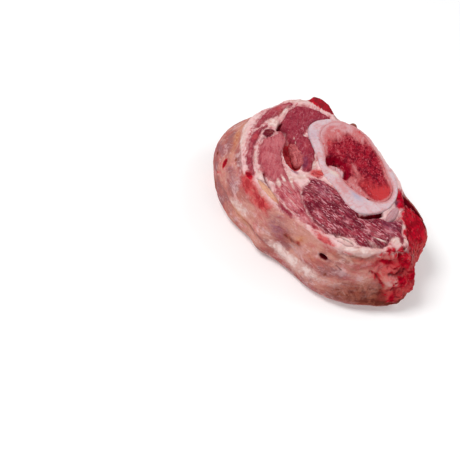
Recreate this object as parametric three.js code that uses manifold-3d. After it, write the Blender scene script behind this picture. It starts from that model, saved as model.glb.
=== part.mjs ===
// A raw, bone-in slice of lamb neck. It lies on its lower cut face and shows the upper one.
// Millimetres, +Z up. X runs along the long way of the face, and -Y points to the back of
// the neck, where the yellow ligament sits.

import * as THREE from 'three';
import { mergeVertices } from 'three/addons/utils/BufferGeometryUtils.js';
import Module from 'manifold-3d';

// ---------------------------------------------------------------- driving dimensions

const THICKNESS = 34; // from one cut face to the other
const GAP = 0.3; // clearance between neighbouring pieces
const OVERSHOOT = 2; // how far a cutter runs past the face that it cuts

// Distance from the middle of the upper face to its rim, in even steps round from +X.
const RIM_RADII = [
  53.6, 43.6, 39.5, 37.8, 36.8, 36.0, 38.2, 42.3, 44.3, 48.5, 57.0, 53.3,
  51.0, 46.8, 42.6, 40.6, 39.2, 37.4, 39.0, 37.5, 39.4, 45.0, 49.0, 51.1,
];
const AROUND = 84; // facets round the slice
const RIM_ROUNDING = { front: 2.4, back: 1.2 }; // edge between wall and upper face, at -Y and +Y
const FOOT_ROUNDING = { front: 8, back: 3 }; // edge between wall and lower face, at -Y and +Y
const WALL_STEPS = 8; // levels of the wall between its two rounded edges
const ROUND_STEPS = 3; // levels in each rounded edge
const FACE_RINGS = 6; // rings on the upper face between its rim and its middle

// Swells of the outer wall: where round the slice and how high each one is widest, how far
// it spreads round (degrees) and down, and how far it stands out from the rim's outline.
const WALL_SWELLS = [
  { angle: 192, width: 30, level: 16, below: 40, depth: 11.5 }, // shoulder side
  { angle: 358, width: 25, level: 10, below: 36, depth: 7.6 }, // blood-stained end
  { angle: 33, width: 16, level: 22, below: 34, depth: 13 }, // red lobe under the rim
  { angle: 272, width: 24, level: 0, below: 40, depth: -2 }, // tuck under the back of the neck
  { angle: 100, width: 40, level: 6, below: 40, depth: 2.5 }, // flare below the bone
];

// Low relief of the upper face: soft mounds (rise > 0) and seams (rise < 0).
const FACE_RELIEF = [
  { at: [-39, 20], reach: 9, rise: 0.9 },
  { at: [-29, -12], reach: 10, rise: 0.7 },
  { at: [14, -16], reach: 13, rise: 1.1 },
  { at: [40, -3], reach: 8, rise: 0.8 },
  { at: [-42, 4], reach: 4, rise: -1.4 },
  { at: [-7, -12], reach: 5, rise: -0.8 },
  { at: [29, -7], reach: 4, rise: -2.2 },
];

// Soft lumps that stand out of the wall: middle, half sizes and turn about Z in degrees.
const WALL_LUMPS = [
  { at: [-36.5, 36.2, 29.8], half: [10.5, 4.8, 5.2], turn: -12 }, // red flap behind the rim
  { at: [-20, 39.8, 31.8], half: [3.0, 2.2, 2.8], turn: 20 }, // dark nub
  { at: [43, 21.5, 24], half: [9.5, 3.8, 5.2], turn: -38 }, // crest of the red lobe
  { at: [54.6, 7.5, 11.5], half: [4.4, 4.2, 4.2], turn: 0 }, // clotted knob
  { at: [58.4, -5.5, 15], half: [4.4, 9.5, 8.5], turn: -8 }, // torn tissue at the stained end
];
const LUMP_FACETS = [14, 9]; // round and up each lump

// The vertebra: an outer ring of white bone and a core of red spongy bone, both from cut
// face to cut face. Radii run in even steps round from +X, and lean is how far a piece's
// lower end stands from its upper one.
const BONE_LEAN = [0, -5];
const BONE = {
  centre: [0.5, 18],
  lean: BONE_LEAN,
  radii: [
    29.4, 23.4, 19.0, 16.6, 17.6, 22.9, 28.8, 32.4,
    31.0, 22.5, 18.0, 18.1, 19.6, 23.0, 34.6, 34.8,
  ],
  top: THICKNESS + 1.3,
  edge: 0.9,
  facets: 64,
};
const CORE = {
  centre: [1, 20],
  lean: BONE_LEAN,
  radii: [
    23.6, 16.0, 13.3, 13.0, 13.8, 17.5, 25.2, 28.8,
    25.2, 17.8, 15.7, 16.0, 13.2, 17.0, 22.5, 27.9,
  ],
  top: THICKNESS + 0.9,
  edge: 0.5,
  facets: 64,
};
const MARROW_HOLE = { at: [-5.2, 10], half: [3.4, 3.0], depth: 11 };

// The yellow ligament at the back of the neck, and a tongue of cartilage beside the bone.
const LIGAMENT = {
  centre: [-6.6, -33],
  lean: [0, 7],
  half: [8.6, 2.0],
  turn: -10,
  top: THICKNESS - 0.5,
  edge: 0.6,
  facets: 32,
};
const CARTILAGE = {
  centre: [35.2, 9.0],
  lean: [0, 0],
  half: [6.4, 2.1],
  turn: -70,
  top: THICKNESS + 0.4,
  edge: 0.8,
  facets: 28,
};
const CARTILAGE_DEPTH = 9;

// A vessel that lies in a hollow between two muscles: its ends and its half thickness.
const VESSEL = {
  from: [-28, 3.2, 32.2],
  to: [-11.2, -7.6, 30.4],
  sag: 0.6,
  thin: 1.7,
  thick: 2.7,
  steps: 14,
  facets: 16,
};
const HOLLOW = { at: [-18.8, -4.9, THICKNESS], half: [12.6, 5.6, 6.4], turn: -32 };
const HOLLOW_FACETS = [28, 16];

// Colour (hexadecimal RGB), roughness and metalness of each piece.
const FINISHES = {
  meat: { color: 0x9c4a50, roughness: 0.42, metalness: 0 },
  bone: { color: 0xd2c2cc, roughness: 0.38, metalness: 0 },
  bone_core: { color: 0x8b1825, roughness: 0.48, metalness: 0 },
  ligament: { color: 0xe3bf90, roughness: 0.45, metalness: 0 },
  cartilage: { color: 0xd9bcc4, roughness: 0.35, metalness: 0 },
  vessel: { color: 0xb3605f, roughness: 0.35, metalness: 0 },
};

// ---------------------------------------------------------------- curves

const degrees = THREE.MathUtils.degToRad;

// Smooth closed curve through radii given at even steps round the circle.
function smoothRadius(radii, angle) {
  const turns = angle / (2 * Math.PI);
  const place = (turns - Math.floor(turns)) * radii.length;
  const index = Math.floor(place);
  const [before, here, next, after] = [-1, 0, 1, 2].map(
    (step) => radii[(index + step + radii.length) % radii.length],
  );
  const t = place - index;
  const rise = (next - before) / 2;
  const fall = (after - here) / 2;
  const bend = 3 * (next - here) - 2 * rise - fall;
  const twist = 2 * (here - next) + rise + fall;
  return here + t * (rise + t * (bend + t * twist));
}

// Radius of an ellipse in the direction of angle.
function ellipseRadius([long, wide], turn, angle) {
  const along = Math.cos(angle - degrees(turn)) / long;
  const across = Math.sin(angle - degrees(turn)) / wide;
  return 1 / Math.hypot(along, across);
}

// 1 at distance 0, easing to 0 at distance 1 and beyond.
function easeOut(distance) {
  return Math.cos((Math.PI / 2) * Math.min(1, Math.abs(distance))) ** 2;
}

// How much of a swell shows at this angle and height.
function swellShare(swell, angle, z) {
  const apart = Math.abs(THREE.MathUtils.euclideanModulo(
    THREE.MathUtils.radToDeg(angle) - swell.angle + 180, 360) - 180);
  const round = Math.exp(-0.5 * (apart / swell.width) ** 2);
  const span = z > swell.level ? THICKNESS - swell.level : swell.below;
  return round * easeOut((z - swell.level) / span);
}

function wallRadius(angle, z) {
  const swells = WALL_SWELLS.map((swell) => swell.depth * swellShare(swell, angle, z));
  return smoothRadius(RIM_RADII, angle) + swells.reduce((sum, value) => sum + value, 0);
}

// Height of the upper face above its plane.
function faceRelief(x, y) {
  return FACE_RELIEF.reduce((sum, { at, reach, rise }) => {
    const distance = Math.hypot(x - at[0], y - at[1]) / reach;
    return sum + rise * Math.exp(-0.5 * distance ** 2);
  }, 0);
}

// Rounding of an edge that changes evenly from -Y to +Y.
function roundingAt({ front, back }, angle) {
  return THREE.MathUtils.lerp(front, back, (1 + Math.sin(angle)) / 2);
}

// ---------------------------------------------------------------- closed bodies

// A lathe whose profile starts and ends on the axis, with every point moved to the place
// that the caller gives for its angle and its step along the profile.
function latheBody(stepCount, facets, place) {
  const profile = Array.from({ length: stepCount }, (_, step) => {
    const onAxis = step === 0 || step === stepCount - 1;
    return new THREE.Vector2(onAxis ? 0 : 1, step);
  });
  const geometry = new THREE.LatheGeometry(profile, facets);
  const positions = geometry.getAttribute('position');
  for (let facet = 0; facet <= facets; facet += 1) {
    const angle = (2 * Math.PI * (facet % facets)) / facets;
    for (let step = 0; step < stepCount; step += 1) {
      const point = place(angle, step);
      positions.setXYZ(facet * stepCount + step, point.x, point.y, point.z);
    }
  }
  geometry.deleteAttribute('normal');
  geometry.deleteAttribute('uv');
  return mergeVertices(geometry, 1e-4);
}

// Point at an angle and a radius from an upright axis.
function ringPoint(centre, radius, angle, z) {
  return new THREE.Vector3(
    centre[0] + radius * Math.cos(angle),
    centre[1] + radius * Math.sin(angle),
    z,
  );
}

// Profile of the slice from the middle of its lower face to the middle of its upper one.
// share is the part of the wall's radius. foot and rim say how far a point is round the
// lower and the upper edge, from the wall (0) to the face (1). wall is its height between.
function sliceProfile() {
  const foot = Array.from({ length: ROUND_STEPS }, (_, step) => (
    { share: 1, foot: 1 - step / ROUND_STEPS, rim: 0, wall: 0 }
  ));
  const wall = Array.from({ length: WALL_STEPS + 1 }, (_, step) => (
    { share: 1, foot: 0, rim: 0, wall: step / WALL_STEPS }
  ));
  const rim = Array.from({ length: ROUND_STEPS }, (_, step) => (
    { share: 1, foot: 0, rim: (step + 1) / ROUND_STEPS, wall: 1 }
  ));
  const face = Array.from({ length: FACE_RINGS }, (_, step) => (
    { share: 1 - (step + 1) / FACE_RINGS, foot: 0, rim: 1, wall: 1 }
  ));
  return [{ share: 0, foot: 1, rim: 0, wall: 0 }, ...foot, ...wall, ...rim, ...face];
}

function sliceBody() {
  const profile = sliceProfile();
  return latheBody(profile.length, AROUND, (angle, step) => {
    const { share, foot, rim, wall } = profile[step];
    const footRounding = roundingAt(FOOT_ROUNDING, angle);
    const rimRounding = roundingAt(RIM_ROUNDING, angle);
    const straight = THREE.MathUtils.lerp(footRounding, THICKNESS - rimRounding, wall);
    const drop = footRounding * Math.sin((Math.PI / 2) * foot);
    const climb = rimRounding * Math.sin((Math.PI / 2) * rim);
    const z = straight - drop + climb;
    const inset = footRounding * (1 - Math.cos((Math.PI / 2) * foot))
      + rimRounding * (1 - Math.cos((Math.PI / 2) * rim));
    const point = ringPoint([0, 0], share * (wallRadius(angle, z) - inset), angle, z);
    point.z += share < 1 && rim === 1 ? faceRelief(point.x, point.y) : 0;
    return point;
  });
}

// A piece that rises from bottom to top, with a small bevel at its upper edge.
function columnBody({ centre, lean, top, edge, facets }, radiusAt, bottom) {
  const profile = [
    { share: 0, inset: 0, z: bottom },
    { share: 1, inset: 0, z: bottom },
    { share: 1, inset: 0, z: top - edge },
    { share: 1, inset: edge * 0.3, z: top - edge * 0.3 },
    { share: 1, inset: edge, z: top },
    { share: 0, inset: 0, z: top },
  ];
  return latheBody(profile.length, facets, (angle, step) => {
    const { share, inset, z } = profile[step];
    const down = 1 - z / THICKNESS;
    const middle = [centre[0] + lean[0] * down, centre[1] + lean[1] * down];
    return ringPoint(middle, share * (radiusAt(angle) - inset), angle, z);
  });
}

// The same piece grown by the clearance and run past the upper face, to cut its seat.
function columnCutter(piece, radiusAt, bottom) {
  const grown = { ...piece, top: piece.top + OVERSHOOT };
  return columnBody(grown, (angle) => radiusAt(angle) + GAP, bottom);
}

function lumpBody({ at, half, turn }, [round, up]) {
  const geometry = new THREE.SphereGeometry(1, round, up);
  geometry.scale(...half);
  geometry.rotateZ(degrees(turn));
  geometry.translate(...at);
  geometry.deleteAttribute('normal');
  geometry.deleteAttribute('uv');
  return mergeVertices(geometry, 1e-4);
}

// A finger that thickens towards its rounded free end and sags a little on the way.
function vesselBody(grow) {
  const { from, to, sag, thin, thick, steps, facets } = VESSEL;
  const start = new THREE.Vector3(...from);
  const end = new THREE.Vector3(...to);
  const along = end.clone().sub(start).normalize();
  const side = new THREE.Vector3(-along.y, along.x, 0).normalize();
  const up = along.clone().cross(side);
  start.addScaledVector(along, -grow);
  end.addScaledVector(along, grow);
  return latheBody(steps + 1, facets, (angle, step) => {
    const share = (1 - Math.cos((Math.PI * step) / steps)) / 2;
    const ends = Math.sqrt(Math.max(0, 1 - (2 * share - 1) ** 6));
    const radius = ends * (THREE.MathUtils.lerp(thin, thick, share) + grow);
    const point = start.clone().lerp(end, share);
    point.z -= sag * Math.sin(Math.PI * share);
    point.addScaledVector(side, radius * Math.cos(angle));
    return point.addScaledVector(up, radius * Math.sin(angle));
  });
}

// ---------------------------------------------------------------- joining and cutting

const wasm = await Module();
wasm.setup();

function toSolid(geometry) {
  return new wasm.Manifold(new wasm.Mesh({
    numProp: 3,
    vertProperties: new Float32Array(geometry.getAttribute('position').array),
    triVerts: new Uint32Array(geometry.index.array),
  }));
}

function toGeometry(solid) {
  const mesh = solid.getMesh();
  const geometry = new THREE.BufferGeometry();
  geometry.setAttribute('position', new THREE.BufferAttribute(mesh.vertProperties, 3));
  geometry.setIndex(new THREE.BufferAttribute(mesh.triVerts, 1));
  geometry.computeVertexNormals();
  return geometry;
}

// ---------------------------------------------------------------- the pieces

const boneRadius = (angle) => smoothRadius(BONE.radii, angle);
const coreRadius = (angle) => smoothRadius(CORE.radii, angle);
const ligamentRadius = (angle) => ellipseRadius(LIGAMENT.half, LIGAMENT.turn, angle);
const cartilageRadius = (angle) => ellipseRadius(CARTILAGE.half, CARTILAGE.turn, angle);
const cartilageBottom = THICKNESS - CARTILAGE_DEPTH;

// Lean, fat and outer skin, grown together.
function meatGeometry() {
  let solid = toSolid(sliceBody());
  for (const lump of WALL_LUMPS) {
    solid = solid.add(toSolid(lumpBody(lump, LUMP_FACETS)));
  }
  const cutters = [
    columnCutter(BONE, boneRadius, -OVERSHOOT),
    columnCutter(LIGAMENT, ligamentRadius, -OVERSHOOT),
    columnCutter(CARTILAGE, cartilageRadius, cartilageBottom - GAP),
    lumpBody(HOLLOW, HOLLOW_FACETS),
    vesselBody(GAP),
  ];
  for (const cutter of cutters) {
    solid = solid.subtract(toSolid(cutter));
  }
  return toGeometry(solid);
}

function boneGeometry() {
  const channel = columnCutter({ ...CORE, top: BONE.top }, coreRadius, -OVERSHOOT);
  return toGeometry(toSolid(columnBody(BONE, boneRadius, 0)).subtract(toSolid(channel)));
}

function coreGeometry() {
  const { at, half, depth } = MARROW_HOLE;
  const hole = lumpBody({ at: [...at, CORE.top], half: [...half, depth], turn: 0 }, [18, 14]);
  return toGeometry(toSolid(columnBody(CORE, coreRadius, 0)).subtract(toSolid(hole)));
}

function ligamentGeometry() {
  return toGeometry(toSolid(columnBody(LIGAMENT, ligamentRadius, 0)));
}

function cartilageGeometry() {
  return toGeometry(toSolid(columnBody(CARTILAGE, cartilageRadius, cartilageBottom)));
}

function vesselGeometry() {
  return toGeometry(toSolid(vesselBody(0)));
}

const PIECES = {
  meat: meatGeometry,
  bone: boneGeometry,
  bone_core: coreGeometry,
  ligament: ligamentGeometry,
  cartilage: cartilageGeometry,
  vessel: vesselGeometry,
};

// ---------------------------------------------------------------- the slice

function neckSlice() {
  const slice = new THREE.Group();
  for (const [name, makeGeometry] of Object.entries(PIECES)) {
    const mesh = new THREE.Mesh(makeGeometry(), new THREE.MeshStandardMaterial(FINISHES[name]));
    mesh.name = name;
    slice.add(mesh);
  }
  const box = new THREE.Box3().setFromObject(slice);
  const middle = box.getCenter(new THREE.Vector3());
  slice.position.set(-middle.x, -middle.y, -box.min.z); // origin under the middle of the box
  return slice;
}

export default neckSlice();
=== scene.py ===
"""A raw, bone-in slice of lamb neck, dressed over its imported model.

Shapes are worked out in millimetres round the middle of the upper cut face, with +Z up and
-Y towards the back of the neck, and turned into metres in the model's frame at the end.
"""

import itertools
import logging
import math
from dataclasses import dataclass
from enum import Enum
from typing import Sequence

import bpy
import numpy as np
from mathutils import Matrix, Vector
from mathutils.geometry import delaunay_2d_cdt

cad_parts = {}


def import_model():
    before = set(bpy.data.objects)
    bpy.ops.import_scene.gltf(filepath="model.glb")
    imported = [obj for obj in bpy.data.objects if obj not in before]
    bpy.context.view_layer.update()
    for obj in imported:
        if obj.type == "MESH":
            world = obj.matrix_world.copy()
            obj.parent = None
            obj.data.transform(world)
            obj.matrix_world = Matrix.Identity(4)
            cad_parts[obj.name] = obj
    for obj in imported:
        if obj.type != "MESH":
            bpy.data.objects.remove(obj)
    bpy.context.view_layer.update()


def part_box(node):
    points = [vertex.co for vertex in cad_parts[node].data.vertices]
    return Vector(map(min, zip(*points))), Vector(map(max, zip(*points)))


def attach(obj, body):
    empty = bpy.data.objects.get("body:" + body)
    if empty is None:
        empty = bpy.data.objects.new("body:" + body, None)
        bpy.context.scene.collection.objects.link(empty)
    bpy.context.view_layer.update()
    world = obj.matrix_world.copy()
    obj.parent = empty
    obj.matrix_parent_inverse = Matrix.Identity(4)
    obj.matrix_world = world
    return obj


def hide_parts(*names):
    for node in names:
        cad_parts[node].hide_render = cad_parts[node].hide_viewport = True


LOG = logging.getLogger("lamb_neck")
MM = 0.001

Pair = tuple[float, float]
Triple = tuple[float, float, float]
Colour = tuple[float, float, float, float]


# ------------------------------------------------------------------ curves and noise


def smooth_radius(radii: Sequence[float], angle: np.ndarray) -> np.ndarray:
    """Follow a smooth closed curve through radii at even steps round the circle.

    Args:
        radii: Distances from the middle, the first towards +X.
        angle: Directions in radians.

    Returns:
        The curve's radius in each direction.
    """
    ring = np.asarray(radii, float)
    place = (np.asarray(angle) / (2 * math.pi) % 1.0) * len(ring)
    index = np.floor(place).astype(int)
    before, here, after, later = (ring[(index + step) % len(ring)] for step in (-1, 0, 1, 2))
    part = place - index
    rise = (after - before) / 2
    fall = (later - here) / 2
    bend = 3 * (after - here) - 2 * rise - fall
    twist = 2 * (here - after) + rise + fall
    return here + part * (rise + part * (bend + part * twist))


def closed_curve(points: Sequence[Pair], steps: int = 6) -> np.ndarray:
    """Draw a smooth closed line through a few points.

    Args:
        points: The points that the line passes.
        steps: How many short sides each span gets.

    Returns:
        The line's corners, one row each.
    """
    knots = np.asarray(points, float)
    before, after, later = (np.roll(knots, -step, axis=0) for step in (-1, 1, 2))
    spans = []
    for part in np.arange(steps) / steps:
        rise, fall = (after - before) / 2, (later - knots) / 2
        bend = 3 * (after - knots) - 2 * rise - fall
        twist = 2 * (knots - after) + rise + fall
        spans.append(knots + part * (rise + part * (bend + part * twist)))
    return np.stack(spans, axis=1).reshape(-1, 2)


def line_distance(spots: np.ndarray, line: np.ndarray, closed: bool) -> np.ndarray:
    """Measure how far spots lie from a line.

    Args:
        spots: Places in the plane, one row each.
        line: The line's corners.
        closed: Whether the last corner joins the first.

    Returns:
        The distance of each spot.
    """
    starts = line if closed else line[:-1]
    ends = np.roll(line, -1, axis=0) if closed else line[1:]
    nearest = np.full(len(spots), np.inf)
    for start, end in zip(starts, ends):
        way = end - start
        along = ((spots - start) @ way / max(way @ way, 1e-9)).clip(0, 1)
        gap = spots - start - along[:, None] * way
        nearest = np.minimum(nearest, (gap * gap).sum(axis=1))
    return np.sqrt(nearest)


def inside(spots: np.ndarray, loop: np.ndarray) -> np.ndarray:
    """Say which spots lie inside a closed line.

    Args:
        spots: Places in the plane, one row each.
        loop: The closed line's corners.

    Returns:
        True for each spot inside.
    """
    odd = np.zeros(len(spots), bool)
    for (x0, y0), (x1, y1) in zip(loop, np.roll(loop, -1, axis=0)):
        if y0 == y1:
            continue
        spans = (y0 > spots[:, 1]) != (y1 > spots[:, 1])
        crossing = x0 + (spots[:, 1] - y0) * (x1 - x0) / (y1 - y0)
        odd ^= spans & (spots[:, 0] < crossing)
    return odd


INSIDE_REACH = 6.0  # spots further outside a closed line than this are not told apart


def depth_inside(spots: np.ndarray, loop: np.ndarray) -> np.ndarray:
    """Measure how deep spots lie inside a closed line, below 0 outside it.

    Args:
        spots: Places in the plane, one row each.
        loop: The closed line's corners.

    Returns:
        The signed depth of each spot.
    """
    low, high = loop.min(axis=0) - INSIDE_REACH, loop.max(axis=0) + INSIDE_REACH
    near = ((spots > low) & (spots < high)).all(axis=1)
    depth = np.full(len(spots), -INSIDE_REACH)
    picked = spots[near]
    side = np.where(inside(picked, loop), 1.0, -1.0)
    depth[near] = side * line_distance(picked, loop, closed=True)
    return depth.clip(-INSIDE_REACH)


def smooth_step(low: float, high: float, value: np.ndarray) -> np.ndarray:
    """Ease from 0 at low to 1 at high."""
    part = ((value - low) / (high - low)).clip(0, 1)
    return part * part * (3 - 2 * part)


def bell(gap: np.ndarray) -> np.ndarray:
    """Fall from 1 at no gap to nothing at about 2."""
    return np.exp(-(gap**2))


def directions(count: int) -> np.ndarray:
    """Spread directions evenly round the circle, in radians."""
    return np.arange(count) * 2 * math.pi / count


def apart(degrees: np.ndarray, middle: float) -> np.ndarray:
    """Give how far directions stand from a middle one, from -180 to 180 degrees."""
    return (degrees - middle + 180) % 360 - 180


def turned(spots: np.ndarray, degrees: float) -> np.ndarray:
    """Give spots' places along and across a direction in the plane.

    Args:
        spots: Places in the plane, one row each.
        degrees: The direction, from +X towards +Y.

    Returns:
        Each spot's way along and across it.
    """
    turn = math.radians(degrees)
    along = spots[:, 0] * math.cos(turn) + spots[:, 1] * math.sin(turn)
    across = spots[:, 1] * math.cos(turn) - spots[:, 0] * math.sin(turn)
    return np.stack([along, across], axis=1)


def oval_reach(spots: np.ndarray, at: Pair, half: Pair, turn: float = 0.0) -> np.ndarray:
    """Give the squared distance from the middle of an oval, 1 on its outline."""
    local = turned(spots - np.asarray(at), turn) / np.asarray(half)
    return (local**2).sum(axis=1)


NOISE_GAIN = 1.6  # brings the noise near -1 to 1
LAYER_STEP = 2.03  # each layer's grain is this much finer than the one before
LAYER_SHIFT = 17.3


class FleshNoise:
    """Seeded gradient noise over places in space."""

    def __init__(self, seed: int) -> None:
        """Draw the noise's directions.

        Args:
            seed: Fixes every draw.
        """
        draw = np.random.default_rng(seed)
        self._order = draw.permutation(256)
        ways = draw.normal(size=(256, 3))
        self._ways = ways / np.linalg.norm(ways, axis=1, keepdims=True)

    def at(self, places: np.ndarray) -> np.ndarray:
        """Give the noise at places.

        Args:
            places: One row of three numbers each, in lengths of the noise's grain.

        Returns:
            Values from about -1 to 1.
        """
        cell = np.floor(places).astype(int)
        local = places - cell
        fade = local**3 * (local * (local * 6 - 15) + 10)
        total = np.zeros(len(places))
        for corner in itertools.product((0, 1), repeat=3):
            index = (cell + corner) & 255
            pick = self._order[index[:, 0]] + index[:, 1]
            pick = self._order[pick & 255] + index[:, 2]
            pull = ((local - corner) * self._ways[self._order[pick & 255]]).sum(axis=1)
            total += pull * np.where(corner, fade, 1 - fade).prod(axis=1)
        return total * NOISE_GAIN

    def layers(self, places: np.ndarray, count: int = 3, gain: float = 0.5) -> np.ndarray:
        """Add finer and weaker layers of the noise.

        Args:
            places: One row of three numbers each, in lengths of the coarsest grain.
            count: How many layers.
            gain: Strength of each layer over the one before.

        Returns:
            Values from about -1 to 1.
        """
        total = np.zeros(len(places))
        for step in range(count):
            total += gain**step * self.at(places * LAYER_STEP**step + LAYER_SHIFT * step)
        return total / sum(gain**step for step in range(count))


NOISE = FleshNoise(seed=41)


# ------------------------------------------------------------------ marks on a surface


class Tint(Enum):
    """What a mark adds to flesh or bone; each is a trait that the finish reads."""

    RED = "red"
    CRIMSON = "crimson"
    YELLOW = "yellow"
    BROWN = "brown"
    DARK = "dark"
    PALE = "pale"
    PLUM = "plum"
    BLUE = "blue"
    CREAM = "cream"
    BLUSH = "blush"
    ORANGE = "orange"
    PINK = "pink"
    WHITE = "white"


@dataclass(frozen=True)
class Mark:
    """A soft-edged oval spot of one tint; the higher its edge, the sharper it ends."""

    tint: Tint
    at: Pair
    half: Pair
    turn: float
    strength: float
    edge: float

    def share(self, spots: np.ndarray) -> np.ndarray:
        """Give the mark's strength at spots of the surface's plane."""
        reach = oval_reach(spots, self.at, self.half, self.turn)
        return self.strength * np.exp(-(reach**self.edge))


MarkRows = tuple[tuple[float, float, float, float, float, float], ...]


def make_marks(groups: dict[Tint, MarkRows], edge: float, wall: bool = False) -> tuple[Mark, ...]:
    """Make marks from a table.

    Args:
        groups: For each tint, rows of a place, two half sizes, a turn and a strength.
        edge: How sharply the marks end.
        wall: Whether the places are an angle and a height on the wall.

    Returns:
        The marks, tint by tint.
    """
    return tuple(
        Mark(tint, on_wall(x, y) if wall else (x, y), (long, wide), turn, strength, edge)
        for tint, rows in groups.items()
        for x, y, long, wide, turn, strength in rows
    )


def lay_marks(traits: dict[str, np.ndarray], marks: Sequence[Mark], spots: np.ndarray,
              where: np.ndarray | float = 1.0) -> None:
    """Add marks to the traits that they belong to.

    Args:
        traits: The points' traits; those of the marks' tints are added to or made.
        marks: The marks.
        spots: The points' places in the marks' plane.
        where: How much of the marks each point takes.
    """
    for mark in marks:
        name = mark.tint.value
        traits[name] = traits.get(name, 0.0) + mark.share(spots) * where


@dataclass(frozen=True)
class Crease:
    """A groove along a line, or a ridge where its depth is below 0."""

    points: tuple[Pair, ...]
    depth: float
    width: float
    # dark: how much painted shade is laid along the groove
    dark: float = 0.0

    def share(self, spots: np.ndarray) -> np.ndarray:
        """Give how much of the groove's depth is cut at spots of the surface's plane."""
        gap = line_distance(spots, np.asarray(self.points, float), closed=False)
        return np.exp(-((gap / self.width) ** 2))


@dataclass(frozen=True)
class Muscle:
    """One muscle, cut across: its outline on the face and how it looks there."""

    points: tuple[Pair, ...]
    grain: float
    tone: float
    swell: float = 0.7
    coarse: float = 0.2
    streaks: float = 0.1


# ------------------------------------------------------------------ the slice's form


@dataclass(frozen=True)
class Swell:
    """A broad swell of the outer wall."""

    angle: float
    width: float
    level: float
    below: float
    depth: float


@dataclass(frozen=True)
class Lump:
    """A small lump of the outer wall: where it is, its half sizes and how far it stands out."""

    angle: float
    level: float
    half: Pair
    depth: float

    def share(self, strip: np.ndarray) -> np.ndarray:
        """Give how far the lump stands out at unrolled places of the wall."""
        reach = oval_reach(strip, on_wall(self.angle, self.level), self.half)
        return self.depth * np.exp(-(reach**1.6))


@dataclass(frozen=True)
class SliceForm:
    """The outer form of the slice, the same as the solid's."""

    thickness: float = 34.0
    rim_radii: tuple[float, ...] = (
        53.6, 43.6, 39.5, 37.8, 36.8, 36.0, 38.2, 42.3, 44.3, 48.5, 57.0, 53.3,
        51.0, 46.8, 42.6, 40.6, 39.2, 37.4, 39.0, 37.5, 39.4, 45.0, 49.0, 51.1,
    )
    swells: tuple[Swell, ...] = (
        Swell(192, 30, 16, 40, 11.5),
        Swell(358, 25, 10, 36, 7.6),
        Swell(33, 16, 22, 34, 13.0),
        Swell(272, 24, 0, 40, -2.0),
        Swell(100, 40, 6, 40, 2.5),
    )
    rim_rounding: Pair = (1.4, 0.4)
    foot_rounding: Pair = (8.0, 3.0)

    def wall_radius(self, angle: np.ndarray, level: np.ndarray) -> np.ndarray:
        """Give the wall's distance from the middle.

        Args:
            angle: Directions in radians.
            level: Heights.

        Returns:
            The distance in each direction at each height.
        """
        radius = smooth_radius(self.rim_radii, angle)
        for swell in self.swells:
            away = apart(np.degrees(angle), swell.angle)
            span = np.where(level > swell.level, self.thickness - swell.level, swell.below)
            ease = np.cos(np.minimum(1, np.abs((level - swell.level) / span)) * math.pi / 2) ** 2
            radius = radius + swell.depth * np.exp(-0.5 * (away / swell.width) ** 2) * ease
        return radius

    def wall_ring(self, angle: np.ndarray, foot: float, wall: float, rim: float) -> np.ndarray:
        """Place one ring of the wall.

        Args:
            angle: Directions of the ring's points in radians.
            foot: How far the ring is round the lower edge, 0 at the wall and 1 at the face.
            wall: How high it is between the rounded edges, from 0 to 1.
            rim: How far it is round the upper edge, 0 at the wall and 1 at the face.

        Returns:
            The ring's points, one row each.
        """
        blend = (1 + np.sin(angle)) / 2
        roundings = (self.foot_rounding, self.rim_rounding)
        low, high = (front + (back - front) * blend for front, back in roundings)
        foot, rim = math.pi / 2 * foot, math.pi / 2 * rim
        level = low + (self.thickness - high - low) * wall
        level = level - low * math.sin(foot) + high * math.sin(rim)
        inset = low * (1 - math.cos(foot)) + high * (1 - math.cos(rim))
        radius = self.wall_radius(angle, level) - inset
        return np.stack([radius * np.cos(angle), radius * np.sin(angle), level], axis=1)


FORM = SliceForm()
TOP = FORM.thickness
WALL_MM_PER_DEGREE = 0.82
WALL_START = 90  # degrees; the unrolled wall starts and ends on the far side
CHANNEL_LEVELS = (0.0, 12.0, 24.0, 31.0)  # heights of the rings of what runs through the slice


def unrolled(angle: np.ndarray, level: np.ndarray) -> np.ndarray:
    """Lay the wall flat: millimetres round it from the far side, and height."""
    return np.stack([(np.asarray(angle) - WALL_START) % 360 * WALL_MM_PER_DEGREE, level], axis=-1)


def on_wall(angle: float, level: float) -> Pair:
    """Give the unrolled place of one spot of the wall."""
    around, height = unrolled(np.array(float(angle)), np.array(float(level)))
    return float(around), float(height)


# ------------------------------------------------------------------ mesh building


CAP_MARGIN = 0.55  # how far a cap's points stay from its edges, as a share of their spacing
CAP_JITTER = 0.12  # how far they are off their even places, likewise


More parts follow.
